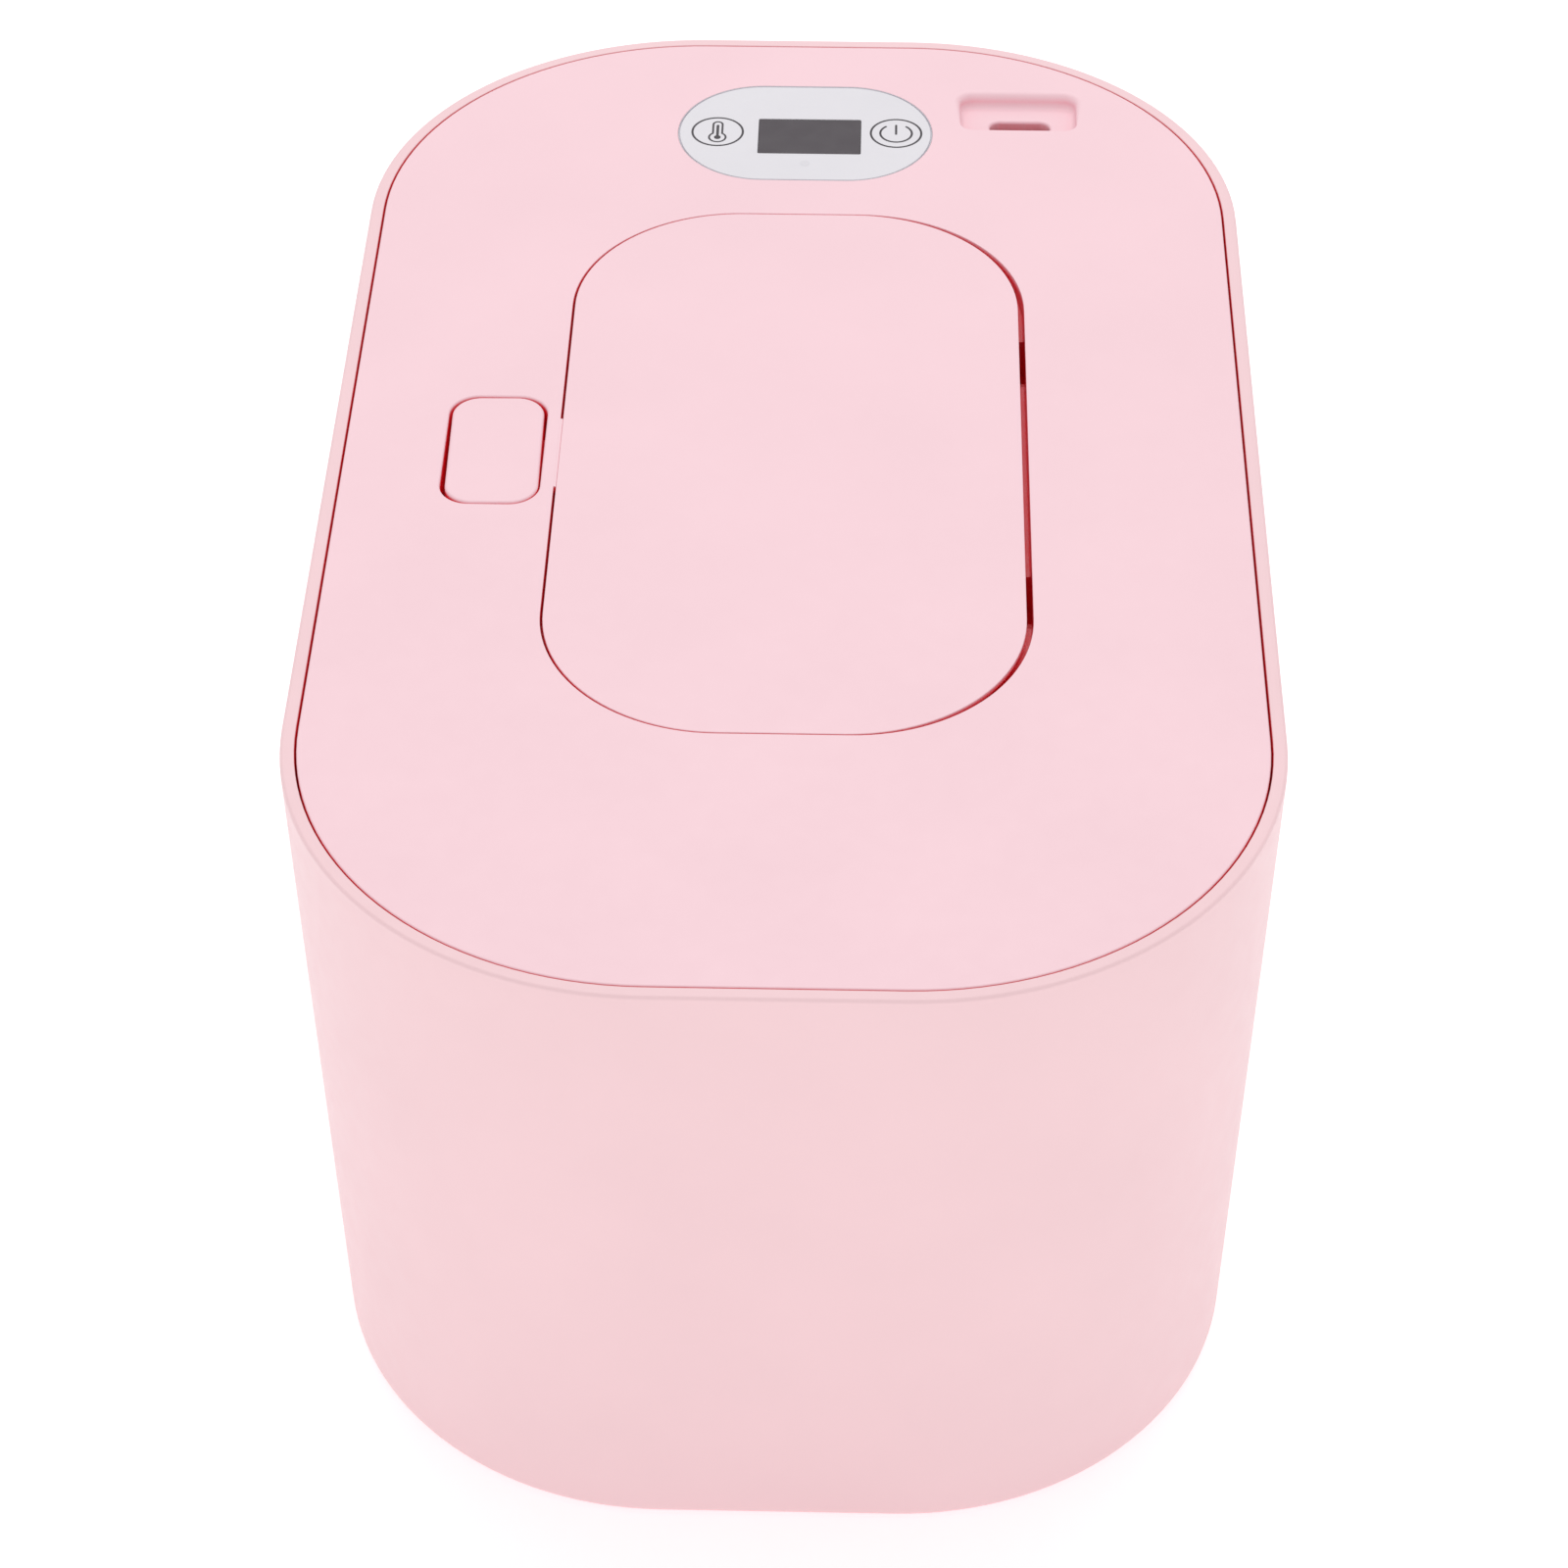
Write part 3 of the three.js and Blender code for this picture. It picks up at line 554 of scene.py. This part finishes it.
def dress(obj, material, crease=32):
    """Gives an object its one material and clean shading."""
    obj.data.materials.clear()
    obj.data.materials.append(material)
    for face in obj.data.polygons:
        face.use_smooth = True
        face.material_index = 0
    obj.data.set_sharp_from_angle(angle=radians(crease))
    even = obj.modifiers.new("even", "WEIGHTED_NORMAL")
    even.keep_sharp = True
    even.weight = 60


def finish_piece(obj, name, body, node=None, slot=None, material=None):
    """Names a fine piece, dresses it, and lets it ride on its body in place of its CAD node."""
    slot = slot or SLOT_OF[node]
    obj.name = name
    obj.data.name = name
    dress(obj, MATERIALS[material or slot])
    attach(obj, body)
    if node:
        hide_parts(node)
    return obj


# ---------------------------------------------------------------- tub


def tub_shell():
    base, floor = TOP - BODY_BASE, TOP - BODY_FLOOR
    shell = turned(BODY, [
        (BODY_DRAFT + 5, base),
        (BODY_DRAFT, base, 1.5),
        (0, 0, TUB_EDGE),
        (RIM, 0, RIM_EDGE),
        (RIM, LEDGE_DEPTH, 0.3),
        (LEDGE_INSET, LEDGE_DEPTH, 0.5),
        (BODY_DRAFT + 3.05, floor, 3.6),
        (BODY_DRAFT + 14, floor),
    ], 32)
    cuts = []
    for foot in FEET:
        place = box_of(foot)[2]
        cuts.append(post(place, FOOT_RADIUS + GAP, base - FOOT_POCKET, TOP + 1, 12))
    # A shallow moulded panel under the base, with round ejector marks.
    cuts.append(turned(Oblong(36, 66, 20), [(0, TOP + 1), (0, base), (0.6, base - 0.4)], 12))
    for x, y in ((-48, -40), (48, -40), (-48, 40), (48, 40)):
        cuts.append(post((x, y), 3, base - 0.12, TOP + 1, 8))
    combine(shell, cut=cuts)
    return finish_piece(shell, "tub_shell", "tub", "body_shell", material="tub_pink")


def rubber_feet():
    for foot in FEET:
        place = box_of(foot)[2]
        top = TOP - BODY_BASE - FOOT_POCKET + GAP
        profile = [
            (1.6, TOP - 0.35), (1.9, TOP - 0.02, 0.1), (0.0, TOP - 0.02, 0.6), (0, top, 0.1), (1, top),
        ]
        obj = turned(circle(FOOT_RADIUS, place), profile, 12, arc=4)
        finish_piece(obj, "rubber_" + foot, "tub", foot)


# ---------------------------------------------------------------- cover


def cover_top():
    tray = turned(COVER, [
        (SKIN + 2, SKIN),
        (SKIN, SKIN, 0.6),
        (SKIN, SKIRT_DEPTH),
        (0, SKIRT_DEPTH),
        (0, 0, COVER_EDGE),
        (2, 0),
    ], 32)
    add = [
        plate(WELL, 1, WELL_UNDER, -WELL_WALL),
        plate(POCKET, 1, 9.5, -1.3, SMALL),
        plate(OVERLAY, 1, 2.8, -2, 12),
        plate(USB_RECESS, 1, USB_RECESS_DEPTH + 1.7, -1.6, SMALL),
    ]
    for side in (-1, 1):
        half = SLOT_HALF + SLOT_WALL
        y = side * ARM_Y
        left, right = SLOT_LEFT - SLOT_WALL, SLOT_RIGHT + SLOT_WALL
        add.append(block(left, right, y - half, y + half, 1, SKIRT_DEPTH))
    add += [post(place, COVER_BOSS, 1, SKIRT_DEPTH) for place in COVER_SCREWS]
    add += [post(place, BOARD_BOSS, 1, BOARD_BOSS_END) for place in BOARD_SCREWS]

    well_left = WELL.cx - WELL.x
    cut = [
        well_hollow(),
        # Room for the catch, through the step round the well.
        block(well_left - 0.05, well_left + 3, -CATCH_ROOM_HALF, CATCH_ROOM_HALF, SKIN, WELL_DEPTH - 0.5),
        rod(PIN_HOLE, -PIN_LENGTH - 1, PIN_LENGTH + 1),
        plate(OUTLET, WELL_DEPTH - 1, WELL_UNDER + 1, 0, 16),
        pocket(POCKET, 11, edge=0.35, steps=12),
        pocket(grown(OVERLAY, 0.02), OVERLAY_THICK + GAP, edge=0.08, arc=3),
        plate(WINDOW, 0.5, 4, -GAP, 3),
        post(KEY_LEFT, 3.8, 0.5, 4),
        post(KEY_RIGHT, 3.8, 0.5, 4),
        socket_recess(),
        pocket(grown(USB_SLOT, -0.25), 6, edge=0.5, top=USB_RECESS_DEPTH, steps=12),
        # Ways through the pocket's walls for the button's tongue and its tail.
        block(POCKET.cx, well_left + 0.2, -TONGUE_ROOM_HALF, TONGUE_ROOM_HALF, 2.4, 4.9),
        block(POCKET.cx - POCKET.x - 2, POCKET.cx, -4, 4, 5, 8),
    ]
    for side in (-1, 1):
        y = side * ARM_Y
        cut.append(block(SLOT_LEFT, SLOT_RIGHT, y - SLOT_HALF, y + SLOT_HALF, SKIN, SLOT_BOTTOM))
        well_right, front = WELL.cx + WELL.x - HAIR, y - SLOT_HALF - SLOT_RUN
        cut.append(block(SLOT_LEFT, well_right, front, y, SKIN, WELL_DEPTH - 0.5))
    cut += [post(place, 1.3, 5, 15) for place in COVER_SCREWS]
    cut += [post(place, 1.0, 4, 9) for place in BOARD_SCREWS]
    combine(tray, add, cut)

    # Fixed lip over the flip lid's catch, with a rounded brow.
    lip = lip_profile(well_left - 0.9)
    lip_body = loft([[(x, LIP_Y + s * LIP_HALF, TOP - d) for x, d in lip] for s in (-1, 1)])
    combine(tray, add=[lip_body])
    return finish_piece(tray, "cover_top", "cover", "cover_panel")


def well_hollow():
    """A cutter for the flip lid's well, which has a step all round under the edge of the lid."""
    top = -HAIR
    return turned(WELL, [
        (SILL_WIDTH + 1, WELL_DEPTH), (SILL_WIDTH, WELL_DEPTH, 0.5), (SILL_WIDTH, SILL_DEPTH, 0.3),
        (0, SILL_DEPTH, 0.3), (0, top, 0.12), (-0.6, top), (-0.6, top - 0.6),
    ], 28)


def socket_recess():
    """A cutter for the socket's recess. Its upper edge is crisp in front and softer to the back."""
    spec, floor = USB_RECESS, 0.9
    crisp, softer = 0.15, 1.05  # the edge's radius in front, and what it gains to the back
    steps, arc = 12, 8
    rings = []
    section = [(2 * floor, USB_RECESS_DEPTH), (0, USB_RECESS_DEPTH, floor), (0, 0)]
    for inset, depth in soften(section, 6)[:-1]:
        rings.append([(x, y, TOP - depth) for x, y in outline(spec, inset, steps)])
    inside, outside = outline(spec, 0, steps), outline(spec, -1, steps)
    for i in range(arc + 1):
        angle = pi / 2 * i / arc
        ring = []
        for (x, y), (ox, oy) in zip(inside, outside):
            share = (y - spec.cy + spec.y) / (2 * spec.y)
            radius = crisp + softer * share * share * (3 - 2 * share)
            out = radius * (1 - cos(angle))
            depth = radius * (1 - sin(angle)) - HAIR
            ring.append((x + (ox - x) * out, y + (oy - y) * out, TOP - depth))
        rings.append(ring)
    rings.append([(x, y, TOP + 0.6) for x, y, _ in rings[-1]])
    return loft(rings)


def lip_profile(root):
    """The lip's section, as (x, depth): flat top, rounded brow at its tip, flat underside."""
    tip = LID.cx - LID.x - 0.01
    section = soften([(root, 0.004), (tip - 0.5, 0.004, 1.0), (tip, 0.1, 0.08), (tip, LIP_DEPTH)], 4)
    return section + [(root, LIP_DEPTH)]


def cover_under():
    inner = turned(COVER, [(2, INNER_BOTTOM), (0, INNER_BOTTOM, 0.3), (0, INNER_TOP), (2, INNER_TOP)])
    add = [
        turned(COVER, [
            (2.7, INNER_BOTTOM - 0.5), (2.7, LEDGE_DEPTH, 0.3), (3.9, LEDGE_DEPTH, 0.3),
            (3.9, INNER_BOTTOM - 0.5),
        ], closed=True),
        turned(HEATER, [
            (-GAP - 1.4, INNER_BOTTOM - 0.5), (-GAP - 1.4, PLATE_BOTTOM, 0.4),
            (-GAP, PLATE_BOTTOM, 0.4), (-GAP, INNER_BOTTOM - 0.5),
        ], closed=True),
        turned(CHUTE, [
            (2, CHUTE_BOTTOM), (-CHUTE_WALL, CHUTE_BOTTOM, 0.5), (-CHUTE_WALL, CHUTE_TOP),
            (2, CHUTE_TOP),
        ], 16),
        post(box_of("latch_spring")[2], 1.8, 9, INNER_TOP + 0.5),
    ]
    for place in COVER_SCREWS:
        add.append(turned(circle(4, place), [
            (2, 17.8), (0, 17.8, 0.4), (0, INNER_BOTTOM - 0.5), (2, INNER_BOTTOM - 0.5),
        ], SMALL, arc=3))
    add += [post(place, 2.6, 10.5, 18) for place in HEATER_SCREWS]
    cut = [
        turned(CHUTE, [
            (-1.5, CHUTE_BOTTOM + 0.5), (-0.5, CHUTE_BOTTOM + 0.003), (0, CHUTE_BOTTOM, 0.4),
            (0, CHUTE_TOP - 1),
        ], 16, arc=3),
        block(CUTOFF.x - 8, CUTOFF.x + 8, CUTOFF.y - 4, CUTOFF.y + 4, 12, 17),
        post(SENSOR, 1.8, 12, 17),
        post((-18, 64), 1.8, 12, 17),
    ]
    for place in COVER_SCREWS:
        cut += [post(place, 2.7, 15.7, 19), post(place, 1.5, 12, 19)]
    cut += [post(place, 1.3, 11.5, 19) for place in HEATER_SCREWS]
    combine(inner, add, cut)
    return finish_piece(inner, "cover_under", "cover", "cover_inner")


def cover_seal():
    """Silicone ring with two soft beads along its underside."""
    upper, lower = INNER_BOTTOM + GAP, LEDGE_DEPTH - GAP
    bead = 0.28
    ring = turned(COVER, [
        (0.1, upper), (0.1, lower, bead), (0.95, lower, bead), (1.25, lower - 0.5, 0.1),
        (1.55, lower, bead), (2.4, lower, bead), (2.4, upper),
    ], closed=True, arc=3)
    return finish_piece(ring, "seal_ring", "cover", "cover_seal")


def outlet_lips():
    under = WELL_UNDER
    base = turned(OUTLET, [
        (1, WELL_DEPTH - GAP), (-1.6, WELL_DEPTH - GAP), (-1.6, WELL_DEPTH - 1.1, 0.45),
        (2, WELL_DEPTH - 1.1),
    ], 16)
    add = [
        plate(OUTLET, WELL_DEPTH - 1, under + 1, GAP, 16),
        plate(OUTLET, under + GAP, under + 1.1, -1.6, 16),
    ]
    cut = [
        turned(OUTLET, [
            (3, WELL_DEPTH + 0.4), (1.2, WELL_DEPTH + 0.4, 0.5), (1.2, WELL_DEPTH - 1.1, 0.4),
            (0.2, WELL_DEPTH - 1.102), (0.2, WELL_DEPTH - 2),
        ], 16, arc=4),
        plate(OUTLET, WELL_DEPTH + 1.4, under + 2, 1.2, 16),
        plate(OUTLET_SLOT, WELL_DEPTH - 2, under + 2, 0, 12),
    ]
    combine(base, add, cut)
    # A soft bead runs round the slot.
    bead = turned(OUTLET_SLOT, [
        (0, WELL_DEPTH + 0.9), (-0.9, WELL_DEPTH + 0.9), (-0.9, WELL_DEPTH + 0.15, 0.3),
        (0, WELL_DEPTH + 0.15, 0.3),
    ], 12, closed=True, arc=4)
    combine(base, add=[bead])
    return finish_piece(base, "outlet_lips", "cover", "outlet_ring")


def heater_tray():
    edge = 0.25
    sheet = turned(HEATER, [
        (2, PLATE_BOTTOM), (0, PLATE_BOTTOM, edge), (0, PLATE_TOP, edge), (2, PLATE_TOP),
    ], 20, arc=3)
    cut = [plate(CHUTE, 14, 22, -CHUTE_WALL - GAP, 16)]
    cut += [post(place, 1.5, 14, 22) for place in HEATER_SCREWS]
    # Shallow pressed beads stiffen the sheet on its lower side.
    for x in (-32, -25, 25, 32):
        cut.append(turned(Oblong(1.1, 46, 1.1, x, 0), [
            (0.5, PLATE_BOTTOM - 0.3), (0, PLATE_BOTTOM - 0.1, 0.1), (-0.15, PLATE_BOTTOM + 0.3),
        ], 6, arc=2))
    combine(sheet, cut=cut)
    return finish_piece(sheet, "heater_sheet", "cover", "heater_plate")


# ---------------------------------------------------------------- control panel


def panel_film():
    """The film, with a narrow groove round its face."""
    film = turned(OVERLAY, [
        (2, OVERLAY_THICK), (0, OVERLAY_THICK), (0, FILM_TOP), (0.04, FILM_TOP), (0.04, 0.45),
        (0.28, 0.45), (0.28, FILM_TOP, 0.1), (2, FILM_TOP),
    ], 20, arc=4)
    combine(film, cut=[pocket(WINDOW, OVERLAY_THICK + 0.5, edge=0.1, top=FILM_TOP, steps=4, arc=3)])
    return finish_piece(film, "panel_film", "cover", "display_overlay")


def window_lens():
    top = FILM_TOP + 0.05
    lens = turned(WINDOW, [
        (0.2, OVERLAY_THICK), (0.05, OVERLAY_THICK), (0.05, top, 0.05), (0.2, top),
    ], 4, arc=3)
    return finish_piece(lens, "window_lens", "cover", "display_window")


def printed_ring(place, radius, line):
    """A printed circle: the outer radius and the width of its line."""
    return wall(circle(radius, place), 0, line, PRINT_UPPER, PRINT_LOWER, 20)


def printed_arc(place, radius, line, start, end, steps=48):
    """A printed open arc with round ends, from the angle start to the angle end."""
    middle = radius - line / 2
    outer, inner = [], []
    for i in range(steps + 1):
        angle = start + (end - start) * i / steps
        way = Vector((cos(angle), sin(angle)))
        outer.append(place + way * radius)
        inner.append(place + way * (radius - line))
    edge = outer + inner[::-1]
    strip = loft([[(p.x, p.y, TOP - d) for p in edge] for d in (PRINT_LOWER, PRINT_UPPER)])
    ends = []
    for angle in (start, end):
        tip = place + Vector((cos(angle), sin(angle))) * middle
        ends.append(post(tip, line / 2 + HAIR, PRINT_UPPER + HAIR, PRINT_LOWER - HAIR, 4))
    return combine(strip, add=ends)


def thermometer(place):
    """A printed thermometer: a round-topped tube on a bulb, with a filled stem inside."""
    tube_top, bulb_y, tube_half, bulb = 2.9, -1.55, 0.86, 1.43
    stem_top, stem_half, stem_bulb = 1.9, 0.21, 0.52

    def body(inset, upper, lower):
        high, low = tube_top - inset, bulb_y
        tube_part = Oblong(
            tube_half - inset, (high - low) / 2, tube_half - inset, place.x, place.y + (high + low) / 2)
        shape = plate(tube_part, upper, lower, 0, SMALL)
        bulb_part = post(place + Vector((0, bulb_y)), bulb - inset, upper + 0.001, lower - 0.001, 10)
        return combine(shape, add=[bulb_part])

    line = PRINT_LINE - 0.03
    inside = body(line, PRINT_UPPER - 0.1, PRINT_LOWER + 0.1)
    shape = combine(body(0, PRINT_UPPER, PRINT_LOWER), cut=[inside])
    half = (stem_top - bulb_y) / 2
    stem = plate(
        Oblong(stem_half, half, stem_half, place.x, place.y + stem_top - half),
        PRINT_UPPER, PRINT_LOWER, 0, 4)
    drop = post(place + Vector((0, bulb_y)), stem_bulb, PRINT_UPPER + 0.001, PRINT_LOWER - 0.001)
    return combine(shape, add=[combine(stem, add=[drop])])


def key_prints():
    left = combine(printed_ring(KEY_LEFT, KEY_RADIUS, PRINT_LINE), add=[thermometer(KEY_LEFT)])
    finish_piece(left, "heat_key_print", "cover", slot="overlay_grey", material="ink")

    opening = radians(40)
    arc = printed_arc(KEY_RIGHT, 2.6, PRINT_LINE, pi / 2 + opening, 2.5 * pi - opening)
    bar = plate(
        Oblong(PRINT_LINE / 2, 1.4, PRINT_LINE / 2, KEY_RIGHT.x, KEY_RIGHT.y + 1.0),
        PRINT_UPPER, PRINT_LOWER, 0, 4)
    right = combine(printed_ring(KEY_RIGHT, KEY_RADIUS, PRINT_LINE), add=[arc, bar])
    finish_piece(right, "power_key_print", "cover", slot="overlay_grey", material="ink")

    spot = post((0.0, 73.4), 0.75, PRINT_UPPER, PRINT_LOWER)
    finish_piece(spot, "indicator_print", "cover", slot="overlay_grey", material="faint_ink")


# ---------------------------------------------------------------- flip lid


def swan_neck(side):
    """One hinge arm: a bent band from the lid to under the pin, a rib, and the hub."""
    count = 28
    start, end = radians(ARM_START), radians(ARM_END + 8)
    angles = [start + (end - start) * i / count for i in range(count + 1)]
    band = [(ARM_OUTER * cos(a), ARM_OUTER * sin(a)) for a in angles]
    band += [(ARM_INNER * cos(a), ARM_INNER * sin(a)) for a in reversed(angles)]
    arm = across_hinge(band, side * ARM_Y, ARM_WIDTH, 0.3)

    width = 4.2 if side > 0 else ARM_WIDTH
    middle = side * ARM_Y + ((ARM_WIDTH - width) / 2 if side > 0 else 0)
    along = Vector((cos(radians(ARM_END)), sin(radians(ARM_END))))
    across = Vector((-along.y, along.x)) * 1.1
    reach = along * (ARM_INNER + ARM_OUTER) / 2
    rib = [tuple(-across), tuple(reach - across), tuple(reach + across), tuple(across)]
    return combine(arm, add=[
        across_hinge(rib, middle, width),
        rod(HUB_RADIUS, middle - width / 2, middle + width / 2, 10),
    ], cut=[rod(PIN_HOLE, middle - ARM_WIDTH, middle + ARM_WIDTH)])


def flip_lid():
    plate_body = turned(LID, [
        (LID_UNDERCUT + 2, SKIN), (LID_UNDERCUT, SKIN, 0.3), (0, 0.8, 0.3), (0, 0, 0.15), (2, 0),
    ], 28)
    left = LID.cx - LID.x
    add = [
        swan_neck(-1),
        swan_neck(1),
        wall(Oblong(22.7, 43.7, 22.7), 0, 0.9, SKIN - 0.5, 3, 16),
        wall(Oblong(19.3, 40.3, 19.3), 0, 0.9, SKIN - 0.5, 3, 16),
        # The catch: its stem, and the nose at the stem's foot.
        block(left + 0.6, left + 1.6, -CATCH_HALF, CATCH_HALF, SKIN - 0.5, 4.4, 0.15),
        block(left + 0.15, left + 1, -CATCH_HALF, CATCH_HALF, 3.5, 4.39, 0.2),
    ]
    # Gussets brace the arms and the catch under the plate.
    for side in (-1, 1):
        y = side * ARM_Y
        add.append(block(24.5, 30.4, y - 0.6, y + 0.6, SKIN - 0.5, 3.2, 0.2))
    for y in (-4, 4):
        add.append(block(left + 1.3, left + 4, y - 0.5, y + 0.5, SKIN - 0.5, 3.2, 0.2))
    combine(plate_body, add)
    return finish_piece(plate_body, "lid_flap", "flip_lid", "flip_lid")


def lid_gasket():
    upper, lower = SKIN + GAP, WELL_DEPTH - GAP
    ring = turned(Oblong(21.5, 42.5, 21.5), [
        (0, upper), (0, lower, 0.9), (1.9, lower, 0.9), (1.9, upper),
    ], 16, closed=True, arc=6)
    return finish_piece(ring, "lid_gasket", "flip_lid", "flip_gasket")


def push_button():
    right, left = BUTTON.cx + BUTTON.x, BUTTON.cx - BUTTON.x
    body = turned(BUTTON, [
        (0.5, BUTTON_DEPTH), (0, BUTTON_DEPTH, 0.2), (0, 0, 0.45), (2, 0),
    ], 12)
    hollow = turned(BUTTON, [
        (BUTTON_WALL, BUTTON_DEPTH + 1), (BUTTON_WALL, SKIN, 0.6), (BUTTON_WALL + 1.5, SKIN),
    ], SMALL)
    combine(body, cut=[hollow])
    combine(body, add=[
        block(right - 0.5, right + 1.85, -CATCH_HALF, CATCH_HALF, 2.7, 3.5, 0.12),
        block(left - 0.9, left + 0.5, -3.5, 3.5, 5.3, 6.3, 0.12),
    ])
    middle = Vector((BUTTON.cx, BUTTON.cy, 0)) * MM
    twist = Matrix.Rotation(BUTTON_TWIST, 4, "Z")
    body.data.transform(Matrix.Translation(middle) @ twist @ Matrix.Translation(-middle))
    return finish_piece(body, "push_button", "latch_button", "latch_button")


# ---------------------------------------------------------------- fasteners, pins and springs


def pan_screw(node, name):
    """A pan-head screw that points up, with a domed head and a cross recess."""
    low, high, place = box_of(node)
    head_bottom = TOP - low.z
    head_top = head_bottom - 1.6
    head = (high.x - low.x) / 2
    shaft = 0.95 if head > 2 else 0.7
    tip = TOP - high.z
    screw = turned(circle(head, place), [
        (head - 0.2, head_bottom), (0.9, head_bottom, 0.3), (0, head_top, 0.6),
        (head - shaft, head_top), (head - shaft, tip + 1.2), (head - 0.15, tip),
    ], SMALL, arc=4)
    arm, half = head * 0.55, 0.25
    x, y, low_end = place.x, place.y, head_bottom + 0.5
    combine(screw, cut=[
        block(x - arm, x + arm, y - half, y + half, head_bottom - 0.8, low_end),
        block(x - half, x + half, y - arm, y + arm, head_bottom - 0.81, low_end + 0.1),
    ])
    return finish_piece(screw, name, "cover", node)


def fasteners():
    for kind, places in (("cover", COVER_SCREWS), ("heater", HEATER_SCREWS), ("board", BOARD_SCREWS)):
        for i in range(len(places)):
            pan_screw(f"{kind}_screw_{i + 1}", f"fine_{kind}_screw_{i + 1}")


def steel_pin():
    low, high, _ = box_of("hinge_pin")
    radius, bevel = (high.x - low.x) / 2, 0.2
    pin = barrel([
        (low.y, radius - bevel), (low.y + bevel, radius),
        (high.y - bevel, radius), (high.y, radius - bevel),
    ])
    return finish_piece(pin, "steel_pin", "cover", "hinge_pin")


def press_spring():
    """The button's coil spring. Its end turns lie flat."""
    low, high, middle = box_of("latch_spring")
    wire, turns, per_turn = 0.3, 6, 24
    radius = (high.x - low.x) / 2 - wire
    flat = 2.1 * wire  # rise of each end turn
    rise = high.z - low.z - 2 * wire - 2 * flat
    points = []
    for i in range(turns * per_turn + 1):
        turn = i / per_turn
        height = flat * (min(turn, 1) + max(turn - turns + 1, 0))
        height += rise * min(max((turn - 1) / (turns - 2), 0), 1)
        angle = 2 * pi * turn
        points.append((
            middle.x + radius * cos(angle), middle.y + radius * sin(angle), low.z + wire + height))
    coil = finish_piece(tube(points, wire), "press_spring", "cover", "latch_spring")
    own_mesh(coil)


# ---------------------------------------------------------------- studio


def studio():
    floor = bpy.data.meshes.new("studio_floor")
    half = 4.0
    corners = [(-half, -half, 0), (half, -half, 0), (half, half, 0), (-half, half, 0)]
    floor.from_pydata(corners, [], [(0, 1, 2, 3)])
    paper = new_material("floor_paper", (0.97, 0.97, 0.97), 0.9, 0.0, {
        "Specular IOR Level": 0.1,
        "Emission Color": (1.0, 1.0, 1.0, 1.0),
        "Emission Strength": FLOOR_GLOW,
    })
    grain(paper, [(2.0, 0.01, None)])
    floor.materials.append(paper)
    ground = bpy.data.objects.new("studio_floor", floor)
    bpy.context.scene.collection.objects.link(ground)

    world = bpy.data.worlds.new("studio_tent")
    bpy.context.scene.world = world
    world.use_nodes = True
    light = world.node_tree.nodes["Background"].inputs
    light["Color"].default_value = (1.0, 1.0, 1.0, 1.0)
    light["Strength"].default_value = WORLD_LIGHT

    softbox("overhead_box", (0.0, 0.62, 1.2), (0, 0.05, 0.08), 1.1, 5.95)
    softbox("front_box", (-0.15, -1.35, 0.65), (0, 0, 0.05), 0.9, 1.4)


def softbox(name, place, target, size, power):
    light = bpy.data.lights.new(name, "AREA")
    light.shape = "SQUARE"
    light.size = size
    light.energy = power
    lamp = bpy.data.objects.new(name, light)
    lamp.location = place
    lamp.rotation_euler = (Vector(target) - Vector(place)).to_track_quat("-Z", "Y").to_euler()
    bpy.context.scene.collection.objects.link(lamp)


def camera():
    """A long lens in front of the box and above it, turned very slightly."""
    ahead = Vector((-sin(YAW) * cos(PITCH), cos(YAW) * cos(PITCH), -sin(PITCH)))
    level_right = Vector((cos(YAW), sin(YAW), 0))
    level_up = level_right.cross(ahead)
    right = level_right * cos(ROLL) + level_up * sin(ROLL)
    up = level_up * cos(ROLL) - level_right * sin(ROLL)
    data = bpy.data.cameras.new("camera")
    data.sensor_width = SENSOR_WIDTH
    data.lens = LENS
    data.clip_start = 0.01
    eye = bpy.data.objects.new("camera", data)
    eye.matrix_world = Matrix.Translation(EYE) @ Matrix((
        right, up, -ahead)).transposed().to_4x4()
    bpy.context.scene.collection.objects.link(eye)
    bpy.context.scene.camera = eye


def picture_settings():
    scene = bpy.context.scene
    scene.view_settings.view_transform = "Standard"
    scene.view_settings.look = "None"
    scene.cycles.max_bounces = 16
    scene.cycles.diffuse_bounces = 16


# ---------------------------------------------------------------- put together

camera()
tub_shell()
rubber_feet()
cover_top()
cover_under()
cover_seal()
outlet_lips()
heater_tray()
panel_film()
window_lens()
key_prints()
flip_lid()
lid_gasket()
push_button()
fasteners()
steel_pin()
press_spring()
for node_name, node in frame["nodes"].items():
    if not node.hide_render:
        dress(node, MATERIALS[SLOT_OF[node_name]])
studio()
picture_settings()
